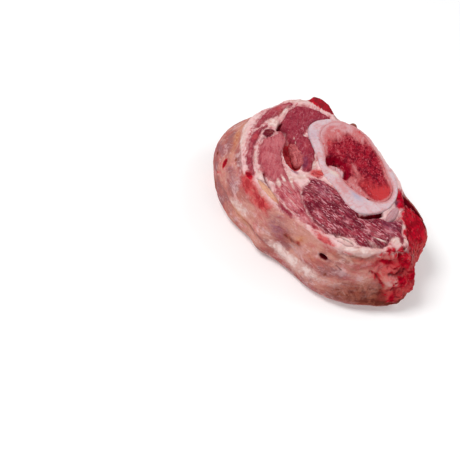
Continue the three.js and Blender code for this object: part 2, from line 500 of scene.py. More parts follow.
class Shell:
    """Collects the points and faces of one closed mesh, in millimetres."""

    def __init__(self) -> None:
        """Start with no points and no faces."""
        self._points: list[np.ndarray] = []
        self._faces: list[np.ndarray] = []
        self._count = 0

    def add(self, points: np.ndarray) -> np.ndarray:
        """Add points.

        Args:
            points: The points, one row each.

        Returns:
            Their numbers.
        """
        numbers = np.arange(self._count, self._count + len(points))
        self._points.append(np.asarray(points, float))
        self._count += len(points)
        return numbers

    def rings(self, column: "Column", count: int, levels: Sequence[float],
              grow: float = 0.0) -> list[np.ndarray]:
        """Add a column's outlines at heights, each of a count of points."""
        return [self.add(column.loop(count, level, grow)) for level in levels]

    def strip(self, lower: np.ndarray, upper: np.ndarray) -> None:
        """Join two rings of point numbers; seen from outside, rings run to the right."""
        quads = np.stack([lower, np.roll(lower, -1), np.roll(upper, -1), upper], axis=1)
        self._faces.append(np.concatenate([quads[:, [0, 1, 2]], quads[:, [0, 2, 3]]]))

    def wall(self, rings: Sequence[np.ndarray], inward: bool = False) -> None:
        """Join rings, the lowest first, to a wall that looks outwards or inwards."""
        for low, high in zip(rings, rings[1:]):
            self.strip(*((high, low) if inward else (low, high)))

    def close(self, rings: Sequence[np.ndarray], upper_pitch: float, lower_pitch: float) -> None:
        """Join rings to a column and close its ends.

        Args:
            rings: Point numbers of each ring, the lowest first.
            upper_pitch: Distance between the new points on the upper end.
            lower_pitch: The same on the lower end.
        """
        self.wall(rings)
        self.cap(rings[-1], [], upper_pitch, up=True)
        self.cap(rings[0], [], lower_pitch, up=False)

    def cap(self, outer: np.ndarray, holes: Sequence[np.ndarray], pitch: float, up: bool) -> None:
        """Fill a flat face between an outer ring and the holes in it.

        Args:
            outer: Point numbers of the ring round the face.
            holes: Point numbers of the ring round each hole.
            pitch: Distance between the new points inside.
            up: Whether the face looks up.
        """
        rings = [outer, *holes]
        every = self.points
        loops = [every[ring, :2] for ring in rings]
        grid = hex_grid(loops[0], pitch)
        margin = CAP_MARGIN * pitch
        keep = depth_inside(grid, loops[0]) > margin
        for hole in loops[1:]:
            keep &= depth_inside(grid, hole) < -margin
        fresh = grid[keep]
        flat = np.concatenate([*loops, fresh])
        edges, start = [], 0
        for loop in loops:
            size = len(loop)
            edges += [(start + step, start + (step + 1) % size) for step in range(size)]
            start += size
        found = delaunay_2d_cdt([Vector(spot) for spot in flat], edges, [], 0, 1e-6)
        triangles = np.array([face for face in found[2] if len(face) == 3])
        middles = flat[triangles].mean(axis=1)
        wanted = inside(middles, loops[0])
        for hole in loops[1:]:
            wanted &= ~inside(middles, hole)
        triangles = triangles[wanted]
        level = every[outer, 2].mean()
        added = self.add(np.column_stack([fresh, np.full(len(fresh), level)]))
        numbers = np.concatenate([*rings, added])
        corners = flat[triangles]
        side = np.cross(corners[:, 1] - corners[:, 0], corners[:, 2] - corners[:, 0])
        flip = (side > 0) != up
        triangles[flip] = triangles[flip][:, ::-1]
        self._faces.append(numbers[triangles])

    @property
    def points(self) -> np.ndarray:
        """All points so far, one row each."""
        return np.concatenate(self._points)

    @property
    def faces(self) -> np.ndarray:
        """All triangles so far, as rows of point numbers."""
        return np.concatenate(self._faces)


def hex_grid(loop: np.ndarray, pitch: float) -> np.ndarray:
    """Spread slightly uneven points over the box round a loop.

    Args:
        loop: The loop's corners.
        pitch: Distance between neighbours.

    Returns:
        The points, one row each.
    """
    low, high = loop.min(axis=0), loop.max(axis=0)
    columns = np.arange(low[0], high[0], pitch)
    rows = np.arange(low[1], high[1], pitch * math.sqrt(3) / 2)
    x, y = np.meshgrid(columns, rows)
    x = x + (np.arange(len(rows)) % 2)[:, None] * pitch / 2
    grid = np.column_stack([x.ravel(), y.ravel()])
    draw = np.random.default_rng(len(grid))
    return grid + draw.uniform(-CAP_JITTER, CAP_JITTER, grid.shape) * pitch


@dataclass(frozen=True)
class Placing:
    """Turns millimetres round the face's middle into metres in the model's frame."""

    shift: Pair

    def points(self, points: np.ndarray) -> np.ndarray:
        """Place many points, one row each."""
        return (points + np.array([*self.shift, 0.0])) * MM

    def point(self, x: float, y: float, z: float) -> Vector:
        """Place one point."""
        return Vector(self.points(np.array([[x, y, z]]))[0])


def link(name: str, data: bpy.types.ID) -> bpy.types.Object:
    """Put a new object into the scene.

    Args:
        name: Its name.
        data: The mesh, camera or light that it shows.

    Returns:
        The object.
    """
    thing = bpy.data.objects.new(name, data)
    bpy.context.scene.collection.objects.link(thing)
    return thing


Shape = tuple[np.ndarray, np.ndarray, dict[str, np.ndarray]]  # points, triangles and traits


@dataclass
class Piece:
    """A piece of the slice; each kind shapes itself in millimetres."""

    placing: Placing
    name: str

    def shape(self) -> Shape:
        """Give the piece's points, its triangles and the traits of its points."""
        raise NotImplementedError

    def build(self, finish: bpy.types.Material) -> bpy.types.Object:
        """Shape, paint and place the piece.

        Args:
            finish: Its material.

        Returns:
            Its object, at the origin and unscaled.
        """
        points, faces, traits = self.shape()
        mesh = bpy.data.meshes.new(self.name)
        mesh.from_pydata(self.placing.points(points).tolist(), [], faces.tolist())
        for trait, values in traits.items():
            kind, slot = ("FLOAT", "value") if values.ndim == 1 else ("FLOAT_VECTOR", "vector")
            layer = mesh.attributes.new(trait, kind, "POINT")
            layer.data.foreach_set(slot, values.astype(np.float32).ravel())
        mesh.polygons.foreach_set("use_smooth", np.ones(len(mesh.polygons), bool))
        mesh.materials.append(finish)
        mesh.validate()
        mesh.update()
        return link(self.name, mesh)


# ------------------------------------------------------------------ shader language


def linear(part: float) -> float:
    """Turn one screen value of 0 to 1 into a linear one."""
    return part / 12.92 if part <= 0.04045 else ((part + 0.055) / 1.055) ** 2.4


def colour(red: int, green: int, blue: int) -> Colour:
    """Turn a screen colour of 0 to 255 into a shader's linear colour."""
    return linear(red / 255), linear(green / 255), linear(blue / 255), 1.0


NOISE_MIDDLE = 0.5


class Wire:
    """A value in a node tree, with Python's arithmetic."""

    def __init__(self, graph: "Graph", socket: bpy.types.NodeSocket) -> None:
        """Hold a node's output.

        Args:
            graph: The node tree that the socket belongs to.
            socket: The output.
        """
        self.graph = graph
        self.socket = socket

    def _math(self, operation: str, first: "Wire | float", second: "Wire | float") -> "Wire":
        """Join two values by a Math node."""
        return self.graph.node("ShaderNodeMath", {"operation": operation}, {0: first, 1: second})

    def __add__(self, other: "Wire | float") -> "Wire":
        """Add."""
        return self._math("ADD", self, other)

    __radd__ = __add__

    def __mul__(self, other: "Wire | float") -> "Wire":
        """Multiply."""
        return self._math("MULTIPLY", self, other)

    __rmul__ = __mul__

    def __sub__(self, other: "Wire | float") -> "Wire":
        """Subtract."""
        return self._math("SUBTRACT", self, other)

    def __rsub__(self, other: "Wire | float") -> "Wire":
        """Subtract from another value."""
        return self._math("SUBTRACT", other, self)

    def swing(self, reach: "Wire | float") -> "Wire":
        """Give how far a noise is off its middle, times a reach."""
        return (self - NOISE_MIDDLE) * reach

    def eased(self, low: float, high: float) -> "Wire":
        """Ease from 0 at low to 1 at high."""
        inputs = {"Value": self, "From Min": low, "From Max": high}
        return self.graph.node("ShaderNodeMapRange", {"interpolation_type": "SMOOTHSTEP"}, inputs)


class Graph:
    """Adds and joins the nodes of one node tree."""

    def __init__(self, nodes: bpy.types.Nodes, links: bpy.types.NodeLinks) -> None:
        """Hold a node tree and empty it.

        Args:
            nodes: The tree's nodes.
            links: The tree's links.
        """
        self._nodes = nodes
        self._links = links
        self._nodes.clear()

    def node(self, kind: str, settings: dict | None = None, inputs: dict | None = None,
             output: int | str = 0) -> Wire:
        """Add a node.

        Args:
            kind: The node's type.
            settings: Its own settings, set first.
            inputs: Values or wires for its sockets, by name or number.
            output: Which of its outputs to give back.

        Returns:
            The chosen output.
        """
        node = self._nodes.new(kind)
        for key, value in (settings or {}).items():
            setattr(node, key, value)
        for key, value in (inputs or {}).items():
            if isinstance(value, Wire):
                self._links.new(value.socket, node.inputs[key])
            else:
                node.inputs[key].default_value = value
        return Wire(self, node.outputs[output])

    def end(self, kind: str, last: Wire) -> None:
        """Send the last value to the first socket of the tree's end node."""
        self._links.new(last.socket, self._nodes.new(kind).inputs[0])


class FinishTree(Graph):
    """Builds one material's nodes."""

    def __init__(self, name: str) -> None:
        """Start an empty material.

        Args:
            name: The material's name.
        """
        self.material = bpy.data.materials.new(name)
        self.material.use_nodes = True
        super().__init__(self.material.node_tree.nodes, self.material.node_tree.links)
        inputs = {0: self.node("ShaderNodeTexCoord", output="Object"), "Scale": 1 / MM}
        self.place = self.node("ShaderNodeVectorMath", {"operation": "SCALE"}, inputs)

    def trait(self, name: str) -> Wire:
        """Read a number that the mesh holds for each point."""
        return self.node("ShaderNodeAttribute", {"attribute_name": name}, output="Fac")

    def way(self, name: str) -> Wire:
        """Read a place or direction that the mesh holds for each point."""
        return self.node("ShaderNodeAttribute", {"attribute_name": name}, output="Vector")

    def stretched(self, place: Wire, sizes: Triple) -> Wire:
        """Scale a place so that one noise grain has the given sizes in millimetres."""
        inputs = {0: place, 1: tuple(1 / size for size in sizes)}
        return self.node("ShaderNodeVectorMath", {"operation": "MULTIPLY"}, inputs)

    def noise(self, size: float | Triple, place: Wire | None = None,
              detail: float = 3.0, wander: float = 0.0) -> Wire:
        """Add noise.

        Args:
            size: Its grain size in millimetres, or one for each direction.
            place: Where it is read, or the object's own places.
            detail: How many finer layers it has.
            wander: How much it is distorted.

        Returns:
            Values from 0 to 1.
        """
        sizes = size if isinstance(size, tuple) else (size, size, size)
        spot = self.stretched(place or self.place, sizes)
        settings = {"noise_dimensions": "3D"}
        inputs = {"Vector": spot, "Scale": 1.0, "Detail": detail, "Distortion": wander}
        return self.node("ShaderNodeTexNoise", settings, inputs)

    def wobbled(self, place: Wire, size: float, reach: float) -> Wire:
        """Shift a place unevenly.

        Args:
            place: The place.
            size: Grain size of the shift in millimetres.
            reach: How far it goes at most, in millimetres.

        Returns:
            The shifted place.
        """
        spot = self.stretched(place, (size, size, size))
        inputs = {"Vector": spot, "Scale": 1.0, "Detail": 3.0}
        wave = self.node("ShaderNodeTexNoise", {"noise_dimensions": "3D"}, inputs, "Color")
        move = {0: wave, 1: (2 * reach,) * 3, 2: place}
        return self.node("ShaderNodeVectorMath", {"operation": "MULTIPLY_ADD"}, move)

    def cells(self, sizes: Triple, place: Wire, output: str) -> Wire:
        """Add cells.

        Args:
            sizes: Their sizes in millimetres.
            place: Where they are read.
            output: Distance for that to an edge, Color for each cell's own value.

        Returns:
            The chosen output.
        """
        feature = "DISTANCE_TO_EDGE" if output == "Distance" else "F1"
        settings = {"voronoi_dimensions": "3D", "feature": feature}
        spot = self.stretched(place, sizes)
        return self.node("ShaderNodeTexVoronoi", settings, {"Vector": spot, "Scale": 1.0}, output)

    def mix(self, share: Wire | float, first: Wire | Colour, second: Wire | Colour) -> Wire:
        """Mix two colours."""
        settings = {"data_type": "RGBA", "clamp_factor": True}
        return self.node("ShaderNodeMix", settings, {0: share, 6: first, 7: second}, output=2)

    def bump(self, height: Wire, depth: float, under: Wire | None = None) -> Wire:
        """Raise the surface.

        Args:
            height: How high it stands, from 0 to 1.
            depth: What 1 means, in millimetres.
            under: Bumps that it lies on.

        Returns:
            The bumped normal.
        """
        inputs: dict = {"Height": height, "Strength": 1.0, "Distance": depth * MM}
        if under is not None:
            inputs["Normal"] = under
        return self.node("ShaderNodeBump", {}, inputs)

    def flesh(self, base: Wire, rough: Wire | float, normal: Wire, coat: Wire | float = 0.0,
              glow: float = 0.2, shine: float = 0.06) -> bpy.types.Material:
        """Finish the material as moist flesh.

        Args:
            base: Its colour.
            rough: Its roughness.
            normal: Its bumps.
            coat: How wet it is.
            glow: How much light passes under its surface.
            shine: Strength of its reflections.

        Returns:
            The material.
        """
        inputs = {
            "Base Color": base,
            "Roughness": rough,
            "Normal": normal,
            "Coat Weight": coat,
            "Coat Roughness": 0.1,
            "Subsurface Weight": glow,
            "Subsurface Radius": (1.0, 0.35, 0.25),
            "Subsurface Scale": 1.6 * MM,
            "Specular IOR Level": shine,
        }
        self.end("ShaderNodeOutputMaterial", self.node("ShaderNodeBsdfPrincipled", {}, inputs))
        return self.material


# ------------------------------------------------------------------ finishes


class MeatTree(FinishTree):
    """The meat's material tree, with the textures that its layers share."""

    def __init__(self, name: str) -> None:
        """Start the tree with its shared textures.

        Args:
            name: The material's name.
        """
        super().__init__(name)
        self.grain = self.way("grain")
        self.blotch = self.noise(5.5, detail=4.0)
        self.spot = self.noise(1.7, detail=4.0, wander=0.5)
        self.fine = self.noise(0.7)
        self.fibres = self.noise((2.8, 0.55, 1.0), self.grain, detail=4.0, wander=0.5)
        self.threads = self.noise((6.0, 1.0, 1.0), self.grain, detail=4.0, wander=0.8)
        self.mottle = self.noise((6.5, 6.5, 3.6), detail=3.5, wander=1.2)


@dataclass(frozen=True)
class MeatFinish:
    """Lean, fat and outer skin, told apart by the traits that the mesh holds."""

    lean_deep: Colour = colour(104, 22, 40)
    lean_mid: Colour = colour(150, 48, 64)
    lean_light: Colour = colour(192, 102, 108)
    seam: Colour = colour(218, 152, 160)
    fat_white: Colour = colour(227, 188, 187)
    fat_pink: Colour = colour(190, 112, 116)
    skin_pale: Colour = colour(196, 136, 124)
    skin_mid: Colour = colour(166, 96, 89)
    skin_rosy: Colour = colour(184, 90, 90)
    skin_grey: Colour = colour(146, 98, 100)
    vein: Colour = colour(150, 56, 60)
    paints: tuple[tuple[Tint, Colour, Colour, float, float, float, float], ...] = (
        (Tint.PALE, colour(204, 160, 153), colour(229, 204, 199), 0.15, 0.9, 0.92, 0.8),
        (Tint.YELLOW, colour(206, 144, 112), colour(186, 108, 76), 0.1, 1.0, 0.9, 0.8),
        (Tint.PLUM, colour(140, 72, 94), colour(104, 38, 62), 0.1, 1.0, 0.85, 0.8),
        (Tint.BROWN, colour(146, 76, 58), colour(98, 36, 26), 0.1, 1.1, 0.92, 0.8),
        (Tint.RED, colour(200, 72, 74), colour(164, 26, 40), 0.1, 0.95, 0.9, 0.8),
        (Tint.CRIMSON, colour(194, 4, 38), colour(132, 0, 22), 0.05, 0.95, 0.97, 0.8),
        # DARK lays painted shade in the creases, the hollow and the wall's pits, and a few small
        # dark spots
        (Tint.DARK, colour(112, 8, 24), colour(74, 4, 14), 0.2, 1.1, 1.0, 0.4),
    )

    def _lean(self, tree: MeatTree, edge: Wire) -> Wire:
        """Colour the lean: fibres with pale seams, darker borders, painted glints and painted
        shade.

        Args:
            tree: The material's tree.
            edge: How deep a place lies inside its muscle.

        Returns:
            The colour.
        """
        coarse = tree.trait("coarse")
        way = tree.wobbled(tree.grain, 2.6, 0.7)
        bundle = tree.cells((4.0, 1.3, 1.3), way, "Color")
        seam = 1.0 - tree.cells((4.0, 1.3, 1.3), way, "Distance").eased(0.02, 0.16)
        clots = tree.noise((5.0, 1.8, 1.8), way, detail=2.0, wander=1.0)
        strands = tree.noise((9.0, 1.3, 1.3), way, detail=1.5, wander=0.4)
        tone = tree.trait("tone") + tree.fibres.swing(0.6 - coarse * 0.3)
        tone = tone + (clots - 0.5) * coarse * 0.8 + (strands - 0.5) * coarse * 1.7
        tone = tone + tree.blotch.swing(coarse * 0.8 + 0.5)
        # the relief's rises are painted lighter and its lows darker: painted light and shade
        tone = tone + tree.spot.swing(0.5 - coarse * 0.3) + tree.trait("ridge") * 0.3
        tone = tone + bundle.swing(coarse * 0.1 + 0.15)
        base = tree.mix(tone.eased(-0.1, 0.5), self.lean_deep, self.lean_mid)
        base = tree.mix(tone.eased(0.4, 1.15), base, self.lean_light)
        base = tree.mix(seam * coarse * tree.spot.eased(0.5, 0.65) * 0.3, base, self.seam)
        # pale streaks on the coarse muscle: painted glints
        painted_glint = tree.noise((2.6, 0.8, 0.8), way, detail=1.5, wander=0.6)
        painted_glint = (painted_glint + tree.blotch.swing(0.8)).eased(0.62, 0.7)
        base = tree.mix(painted_glint * (coarse * 0.65 + 0.05), base, self.seam)
        border = (edge.eased(-0.2, 0.4) - edge.eased(0.5, 1.5)) * tree.spot.eased(0.35, 0.6)
        return tree.mix(border * 0.4, base, self.lean_deep)

    def _fat(self, tree: MeatTree, edge: Wire) -> Wire:
        """Colour the tissue between and around the muscles, painted pinker in its hollows as shade.

        Args:
            tree: The material's tree.
            edge: How deep a place lies inside its muscle.

        Returns:
            The colour.
        """
        pink = (tree.blotch * 0.4 + tree.threads * 0.4 + tree.spot * 0.3).eased(0.48, 0.7)
        pink = pink * edge.eased(-3.2, -0.8) + edge.eased(-1.6, -0.4) * 0.3
        # lower relief turns the fat pinker: painted shade in its hollows
        return tree.mix(pink - tree.trait("ridge") * 0.8, self.fat_white, self.fat_pink)

    def _skin(self, tree: MeatTree) -> Wire:
        """Colour the outer skin: soft drifts, mottling, film, thin veins and painted shade in its
        hollows.

        Args:
            tree: The material's tree.

        Returns:
            The colour.
        """
        drift = tree.noise((20.0, 20.0, 9.0), wander=1.0)
        # low is the relief's depth; it pulls the mid and grey tones into the hollows and keeps the
        # film off them: painted shade
        low = tree.trait("ridge") * -0.2
        skin = tree.mix((drift + low).eased(0.4, 0.6), self.skin_pale, self.skin_mid)
        skin = tree.mix(tree.mottle.eased(0.44, 0.68) * 0.7, skin, self.skin_rosy)
        veil = (tree.blotch * 0.5 + drift * 0.5 + low * 0.5).eased(0.48, 0.62)
        skin = tree.mix(veil * 0.75, skin, self.skin_grey)
        gap = tree.noise((11.0, 11.0, 4.5), detail=4.0, wander=1.6) - 0.5
        line = (1.0 - gap * gap * 2600.0).eased(0.0, 1.0)
        skin = tree.mix(line * tree.spot.eased(0.4, 0.6) * 0.35, skin, self.vein)
        line = 1.0 - (gap - 0.08) * (gap - 0.08) * 1500.0
        line = line.eased(0.0, 1.0) * tree.blotch.eased(0.4, 0.6)
        skin = tree.mix(line * 0.4, skin, self.fat_white)
        film = tree.blotch * 0.5 + tree.mottle * 0.5 + tree.spot.swing(0.3) - low * 0.4
        return tree.mix(film.eased(0.5, 0.66) * 0.5, skin, self.fat_white)

    def _stains_and_painted_light(self, tree: MeatTree, base: Wire) -> Wire:
        """Lay the marks' tints over a colour, ragged and uneven: stains, painted shade and painted
        highlights.

        Args:
            tree: The material's tree.
            base: The colour.

        Returns:
            The stained colour.
        """
        patch = tree.noise(3.2, detail=5.0, wander=1.0)
        ragged = tree.spot.swing(1.6) + tree.mottle.swing(1.1)
        ragged = ragged + (tree.noise(0.8, wander=1.0) - 0.5) * 1.2
        for tint, thin, thick, low, high, most, uneven in self.paints:
            amount = tree.trait(tint.value)
            share = (amount + ragged * uneven * amount).eased(low, high) * most
            # tints lie thicker in the relief's lows: painted shade
            dense = patch + amount * 0.14 - tree.trait("ridge") * 0.15
            base = tree.mix(share, base, tree.mix(dense.eased(0.48, 0.8), thin, thick))
        return base

    def build(self) -> bpy.types.Material:
        """Make the material.

        Returns:
            The material for the meat.
        """
        tree = MeatTree("neck_meat")
        edge = tree.trait("lean") + tree.spot.swing(1.1) + tree.threads.swing(1.2)
        streak = (tree.threads + tree.blotch.swing(0.4)).eased(0.51, 0.62)
        lean = edge.eased(-0.5, 0.6) * (1.0 - streak * tree.trait("streaks") * 0.8)
        hide = tree.trait("hide") + tree.mottle.swing(1.3) + tree.blotch.swing(0.8)
        hide = hide.eased(0.1, 0.9)
        pale = tree.mix(hide, self._fat(tree, edge), self._skin(tree))
        base = tree.mix(lean, pale, self._lean(tree, edge))
        # fine pale specks all over: painted glints
        base = tree.mix((tree.fine - 0.5).eased(0.04, 0.3) * 0.2, base, self.fat_white)
        base = self._stains_and_painted_light(tree, base)

        wet = tree.trait("red").eased(0.3, 0.9) + tree.trait("crimson").eased(0.3, 0.9)
        deep = tree.trait("dark").eased(0.2, 0.7)
        rough = 0.5 - wet * 0.12 + tree.spot.swing(0.4) + deep * 0.3
        glint = (tree.spot * 0.7 + tree.fine * 0.3 + tree.blotch.swing(0.3)).eased(0.57, 0.64)
        coarse = tree.trait("coarse")
        moist = lean * 0.5 + coarse * 0.3 + wet * 0.1 + tree.trait("pale") * 0.5 + 0.15
        height = tree.fibres * (0.2 + coarse * 0.1) * lean + tree.fine * 0.12
        height = height + tree.spot * (0.32 - lean * 0.1) + tree.mottle * hide * 0.6
        coat = moist * glint * (1.0 - deep)
        return tree.flesh(base, rough, tree.bump(height, 0.75), coat, glow=0.12, shine=0.0)


@dataclass(frozen=True)
class BoneFinish:
    """White outer bone with its moist, bluish and pink places."""

    white: Colour = colour(210, 184, 190)
    blue: Colour = colour(180, 164, 182)
    cream: Colour = colour(216, 190, 182)
    pink: Colour = colour(204, 138, 140)
    red: Colour = colour(170, 40, 40)
    dark: Colour = colour(60, 16, 20)

    def build(self) -> bpy.types.Material:
        """Make the material.

        Returns:
            The material for the bone.
        """
        tree = FinishTree("neck_bone")
        cloud = tree.noise(4.5, detail=4.0)
        grit = tree.noise(1.3, detail=4.0)
        fine = tree.noise(0.7, detail=4.0)
        streak = tree.noise((1.2, 5.0, 3.0), detail=4.0, wander=1.2)
        tinge = cloud.eased(0.42, 0.68) * 0.4 + grit.eased(0.5, 0.7) * 0.4
        tinge = tinge + streak.eased(0.52, 0.66) * 0.4
        base = tree.mix(tinge, self.white, self.pink)
        base = tree.mix(tree.trait("blue") * 0.9, base, self.blue)
        for trait, paint, low, high, most in (
            ("cream", self.cream, 0.2, 0.8, 0.9),
            ("blush", self.pink, 0.2, 1.0, 0.85),
            ("red", self.red, 0.45, 0.9, 0.9),
            ("dark", self.dark, 0.4, 0.8, 1.0),
        ):
            share = tree.trait(trait)
            share = (share + (grit + cloud - 1.0) * 1.2 * share).eased(low, high) * most
            base = tree.mix(share, base, paint)
        rough = 0.4 + fine.swing(0.2)
        normal = tree.bump(fine * 0.5 + cloud, 0.25)
        glint = (fine + grit.swing(0.5)).eased(0.55, 0.68)
        return tree.flesh(base, rough, normal, glint * 0.5, glow=0.2)


@dataclass(frozen=True)
class CoreFinish:
    """Red spongy bone, from pale pink at its end through dark red to orange red."""

    deep: Colour = colour(112, 0, 26)
    red: Colour = colour(152, 10, 34)
    strut: Colour = colour(198, 78, 90)
    orange: Colour = colour(192, 54, 58)
    pink: Colour = colour(196, 112, 113)
    white: Colour = colour(208, 160, 164)
    hole: Colour = colour(150, 2, 34)
    pit: Colour = colour(84, 0, 14)

    def build(self) -> bpy.types.Material:
        """Make the material.

        Returns:
            The material for the spongy bone.
        """
        tree = FinishTree("neck_spongy_bone")
        grain = tree.way("grain")
        way = tree.wobbled(grain, 2.0, 0.9)
        sizes = (1.7, 1.0, 1.0)
        pores = tree.cells(sizes, way, "Distance")
        cell = tree.cells(sizes, way, "Color")
        mottle = tree.noise((5.0, 2.6, 2.6), grain, detail=5.0, wander=1.0)
        fine = tree.noise(0.6)
        grit = tree.noise(1.5, detail=4.0, wander=1.0)
        tone = mottle * 1.5 - 0.25 + cell.swing(0.25) + fine.swing(0.15)
        base = tree.mix(tone.eased(0.35, 0.62), self.deep, self.red)
        strut = (1.0 - pores.eased(0.02, 0.15)) * (grit + mottle * 0.4).eased(0.62, 0.84)
        base = tree.mix(strut * 0.7, base, self.strut)
        streak = tree.noise((5.0, 0.7, 0.7), grain, wander=0.6)
        uneven = (mottle * 0.5 + grit * 0.35 + streak * 0.4 + fine * 0.15 - 0.7) * 2.0
        # dark lays painted shade in the marrow hole and groove over their own crimson: the hole
        # colour first, the near-black pit where deepest
        for trait, paint, low, high in (
            ("orange", self.orange, 0.15, 1.0),
            ("pink", self.pink, 0.15, 1.0),
            ("white", self.white, 0.2, 1.0),
            ("dark", self.hole, 0.2, 0.6),
            ("dark", self.pit, 0.8, 1.2),
        ):
            value = tree.trait(trait)
            base = tree.mix((value + uneven * value).eased(low, high), base, paint)
            if trait == "pink":
                base = tree.mix(mottle.eased(0.5, 0.66) * value * 0.5, base, self.white)
                base = tree.mix(grit.eased(0.52, 0.66) * value * 0.5, base, self.orange)
        rough = 0.42 + fine.swing(0.25)
        normal = tree.bump(pores * 0.4 + fine * 0.15, 0.25)
        glint = (fine + grit.swing(0.5)).eased(0.58, 0.7)
        return tree.flesh(base, rough, normal, glint * 0.7, glow=0.08)


@dataclass(frozen=True)
class TissueFinish:
    """A small piece of one tissue: its two colours, the grain of its streaks and its gloss."""

    name: str
    light: Colour
    deep: Colour
    streak: Triple = (5.0, 0.6, 0.6)
    rough: float = 0.36
    coat: float = 0.8
    # colour of the painted shade that the red trait lays
    painted_shade: Colour = colour(190, 60, 60)

    def build(self) -> bpy.types.Material:
        """Make the material.

        Returns:
            The material for the tissue.
        """
        tree = FinishTree(self.name)
        threads = tree.noise(self.streak, tree.way("grain"), detail=4.0, wander=0.3)
        cloud = tree.noise(2.4)
        fine = tree.noise(0.6, detail=4.0)
        share = (threads * 0.6 + cloud * 0.4 + fine.swing(0.2)).eased(0.35, 0.68)
        base = tree.mix(share, self.light, self.deep)
        # the red trait paints shade in this colour, as under the vessel
        base = tree.mix(tree.trait("red").eased(0.3, 0.9), base, self.painted_shade)
        rough = self.rough + fine.swing(0.2)
        normal = tree.bump(threads * 0.6 + fine * 0.4 + cloud, 0.3)
        glint = (fine + cloud.swing(0.6)).eased(0.52, 0.66)
        return tree.flesh(base, rough, normal, glint * self.coat, glow=0.25)


@dataclass(frozen=True)
class GrainFinish:
    """Small moist grains, each of its own shade between two colours."""

    name: str
    deep: Colour
    light: Colour
    rough: float = 0.3
    coat: float = 0.4

    def build(self) -> bpy.types.Material:
        """Make the material.

        Returns:
            The material for the grains.
        """
        tree = FinishTree(self.name)
        cloud = tree.noise(0.8)
        shade = tree.trait("shade") + cloud.swing(0.8)
        base = tree.mix(shade, self.deep, self.light)
        rough = self.rough + cloud.swing(0.2)
        glint = cloud.eased(0.5, 0.62) * self.coat
        return tree.flesh(base, rough, tree.bump(cloud, 0.2), glint, glow=0.1)


# ------------------------------------------------------------------ the meat


MUSCLES = (
    Muscle((  # upper
        (-29.6, 32.2), (-34.2, 31.8), (-39.8, 29.4), (-44.8, 25), (-45, 20.6), (-43, 14),
        (-39.8, 7), (-37.2, 4.6), (-32.5, 3.2), (-27.4, 0.4), (-24, 0.6), (-20.7, 0.4),
        (-16.7, -1.5), (-12.6, -4.2), (-8.6, -7.6), (-7.2, -4), (-11.2, 2.7), (-16.5, 8),
        (-20.7, 10.2), (-24.6, 11.6), (-27, 10.8), (-28.4, 13), (-29.8, 17.3), (-30.8, 22),
        (-30.8, 27.3),
    ), grain=-55, tone=0.42, swell=1.3, coarse=0.3, streaks=0.15),
    Muscle((  # outer strip
        (-49.2, 22.5), (-50.4, 15.5), (-50.4, 9.3), (-48.8, 4), (-46.5, -1.3), (-44, -6.6),
        (-42.6, -8.8), (-42.7, -4), (-44.2, 0.7), (-45.2, 4), (-44.8, 8), (-44.4, 11),
        (-45.4, 15), (-46.2, 19), (-46.6, 22.5),
    ), grain=-80, tone=0.62, swell=0.8, coarse=0.3, streaks=0.4),
    Muscle((  # small dark
        (-39.4, -0.4), (-37, 0.9), (-35.2, -1.2), (-34.9, -4.6), (-36, -7.6), (-38, -6.4),
        (-39.7, -3.4),
    ), grain=-60, tone=-0.25, swell=-0.6, coarse=0.1, streaks=0.0),
    Muscle((  # smooth
        (-36.4, 2.6), (-33.2, 2.4), (-28.8, 0.4), (-26.2, -2), (-24.2, -6.7), (-20.8, -10.6),
        (-16.7, -13.4), (-12.8, -15.4), (-7.6, -18), (-3, -20.4), (-4.6, -23.2), (-8.7, -25.3),
        (-14, -26.3), (-18.7, -25.5), (-23.2, -23.4), (-27.2, -19.8), (-31.2, -15.6),
        (-33.8, -11.6), (-34.9, -7.6), (-34.3, -4), (-34.6, 0),
    ), grain=-48, tone=0.82, swell=1.2, coarse=0.2, streaks=0.3),
    Muscle((  # lower strip
        (-42.2, 0), (-41.6, -5.3), (-40.7, -10.7), (-37.4, -16), (-33.4, -21.3), (-29.3, -26),
        (-24.8, -29.4), (-20, -32.2), (-18.5, -31.4), (-22, -27.6), (-26.6, -24.2),
        (-31.2, -18.9), (-34.6, -14), (-37.2, -9.3), (-39.8, -4.7), (-40.8, -0.5),
    ), grain=-58, tone=0.55, swell=0.8, coarse=0.3, streaks=0.3),
    Muscle((  # coarse
        (-2.4, -8.2), (0.4, -5.1), (5.7, -3.8), (11.7, -3), (16.5, -2.8), (21, -3.6),
        (26, -5), (29.5, -4.4), (31.6, -0.5), (33.5, 1.6), (36, 2.8), (38, 6.6), (39, 11),
        (42.6, 9), (45, 4.5), (50.2, 1.4), (50.4, -1.4), (46.2, -2.8), (47.6, -6.4),
        (48.6, -10.8), (44.2, -16.8), (40.6, -20.6), (36, -20.2), (31, -25.4), (28, -27.6),
        (20, -28.2), (12, -26), (6, -22.4), (1.4, -18), (-0.6, -13),
    ), grain=8, tone=0.14, swell=1.2, coarse=1.0, streaks=0.3),
    Muscle((  # streaky
        (-8.6, -19.6), (-2, -18.4), (3, -20.6), (8, -24), (14, -27.4), (22, -28.8),
        (28, -28), (24.8, -30), (19.6, -31.8), (11.7, -32.4), (3, -32), (-3.6, -30.4),
        (-8.4, -27), (-10.6, -23),
    ), grain=-8, tone=0.9, swell=0.9, coarse=0.8, streaks=1.0),
    Muscle((  # rim strip
        (2.2, -33.6), (6, -33.8), (11, -34), (11.6, -35.4), (6, -36), (2.6, -35.8),
    ), grain=-5, tone=0.5, swell=0.4, streaks=0.2),
    Muscle((  # end strip
        (24.8, 26.4), (28, 25.4), (32.5, 21.6), (34, 17.8), (32.4, 15.4), (29.4, 18.6),
        (26.6, 23),
    ), grain=-45, tone=0.0, swell=0.6),
)
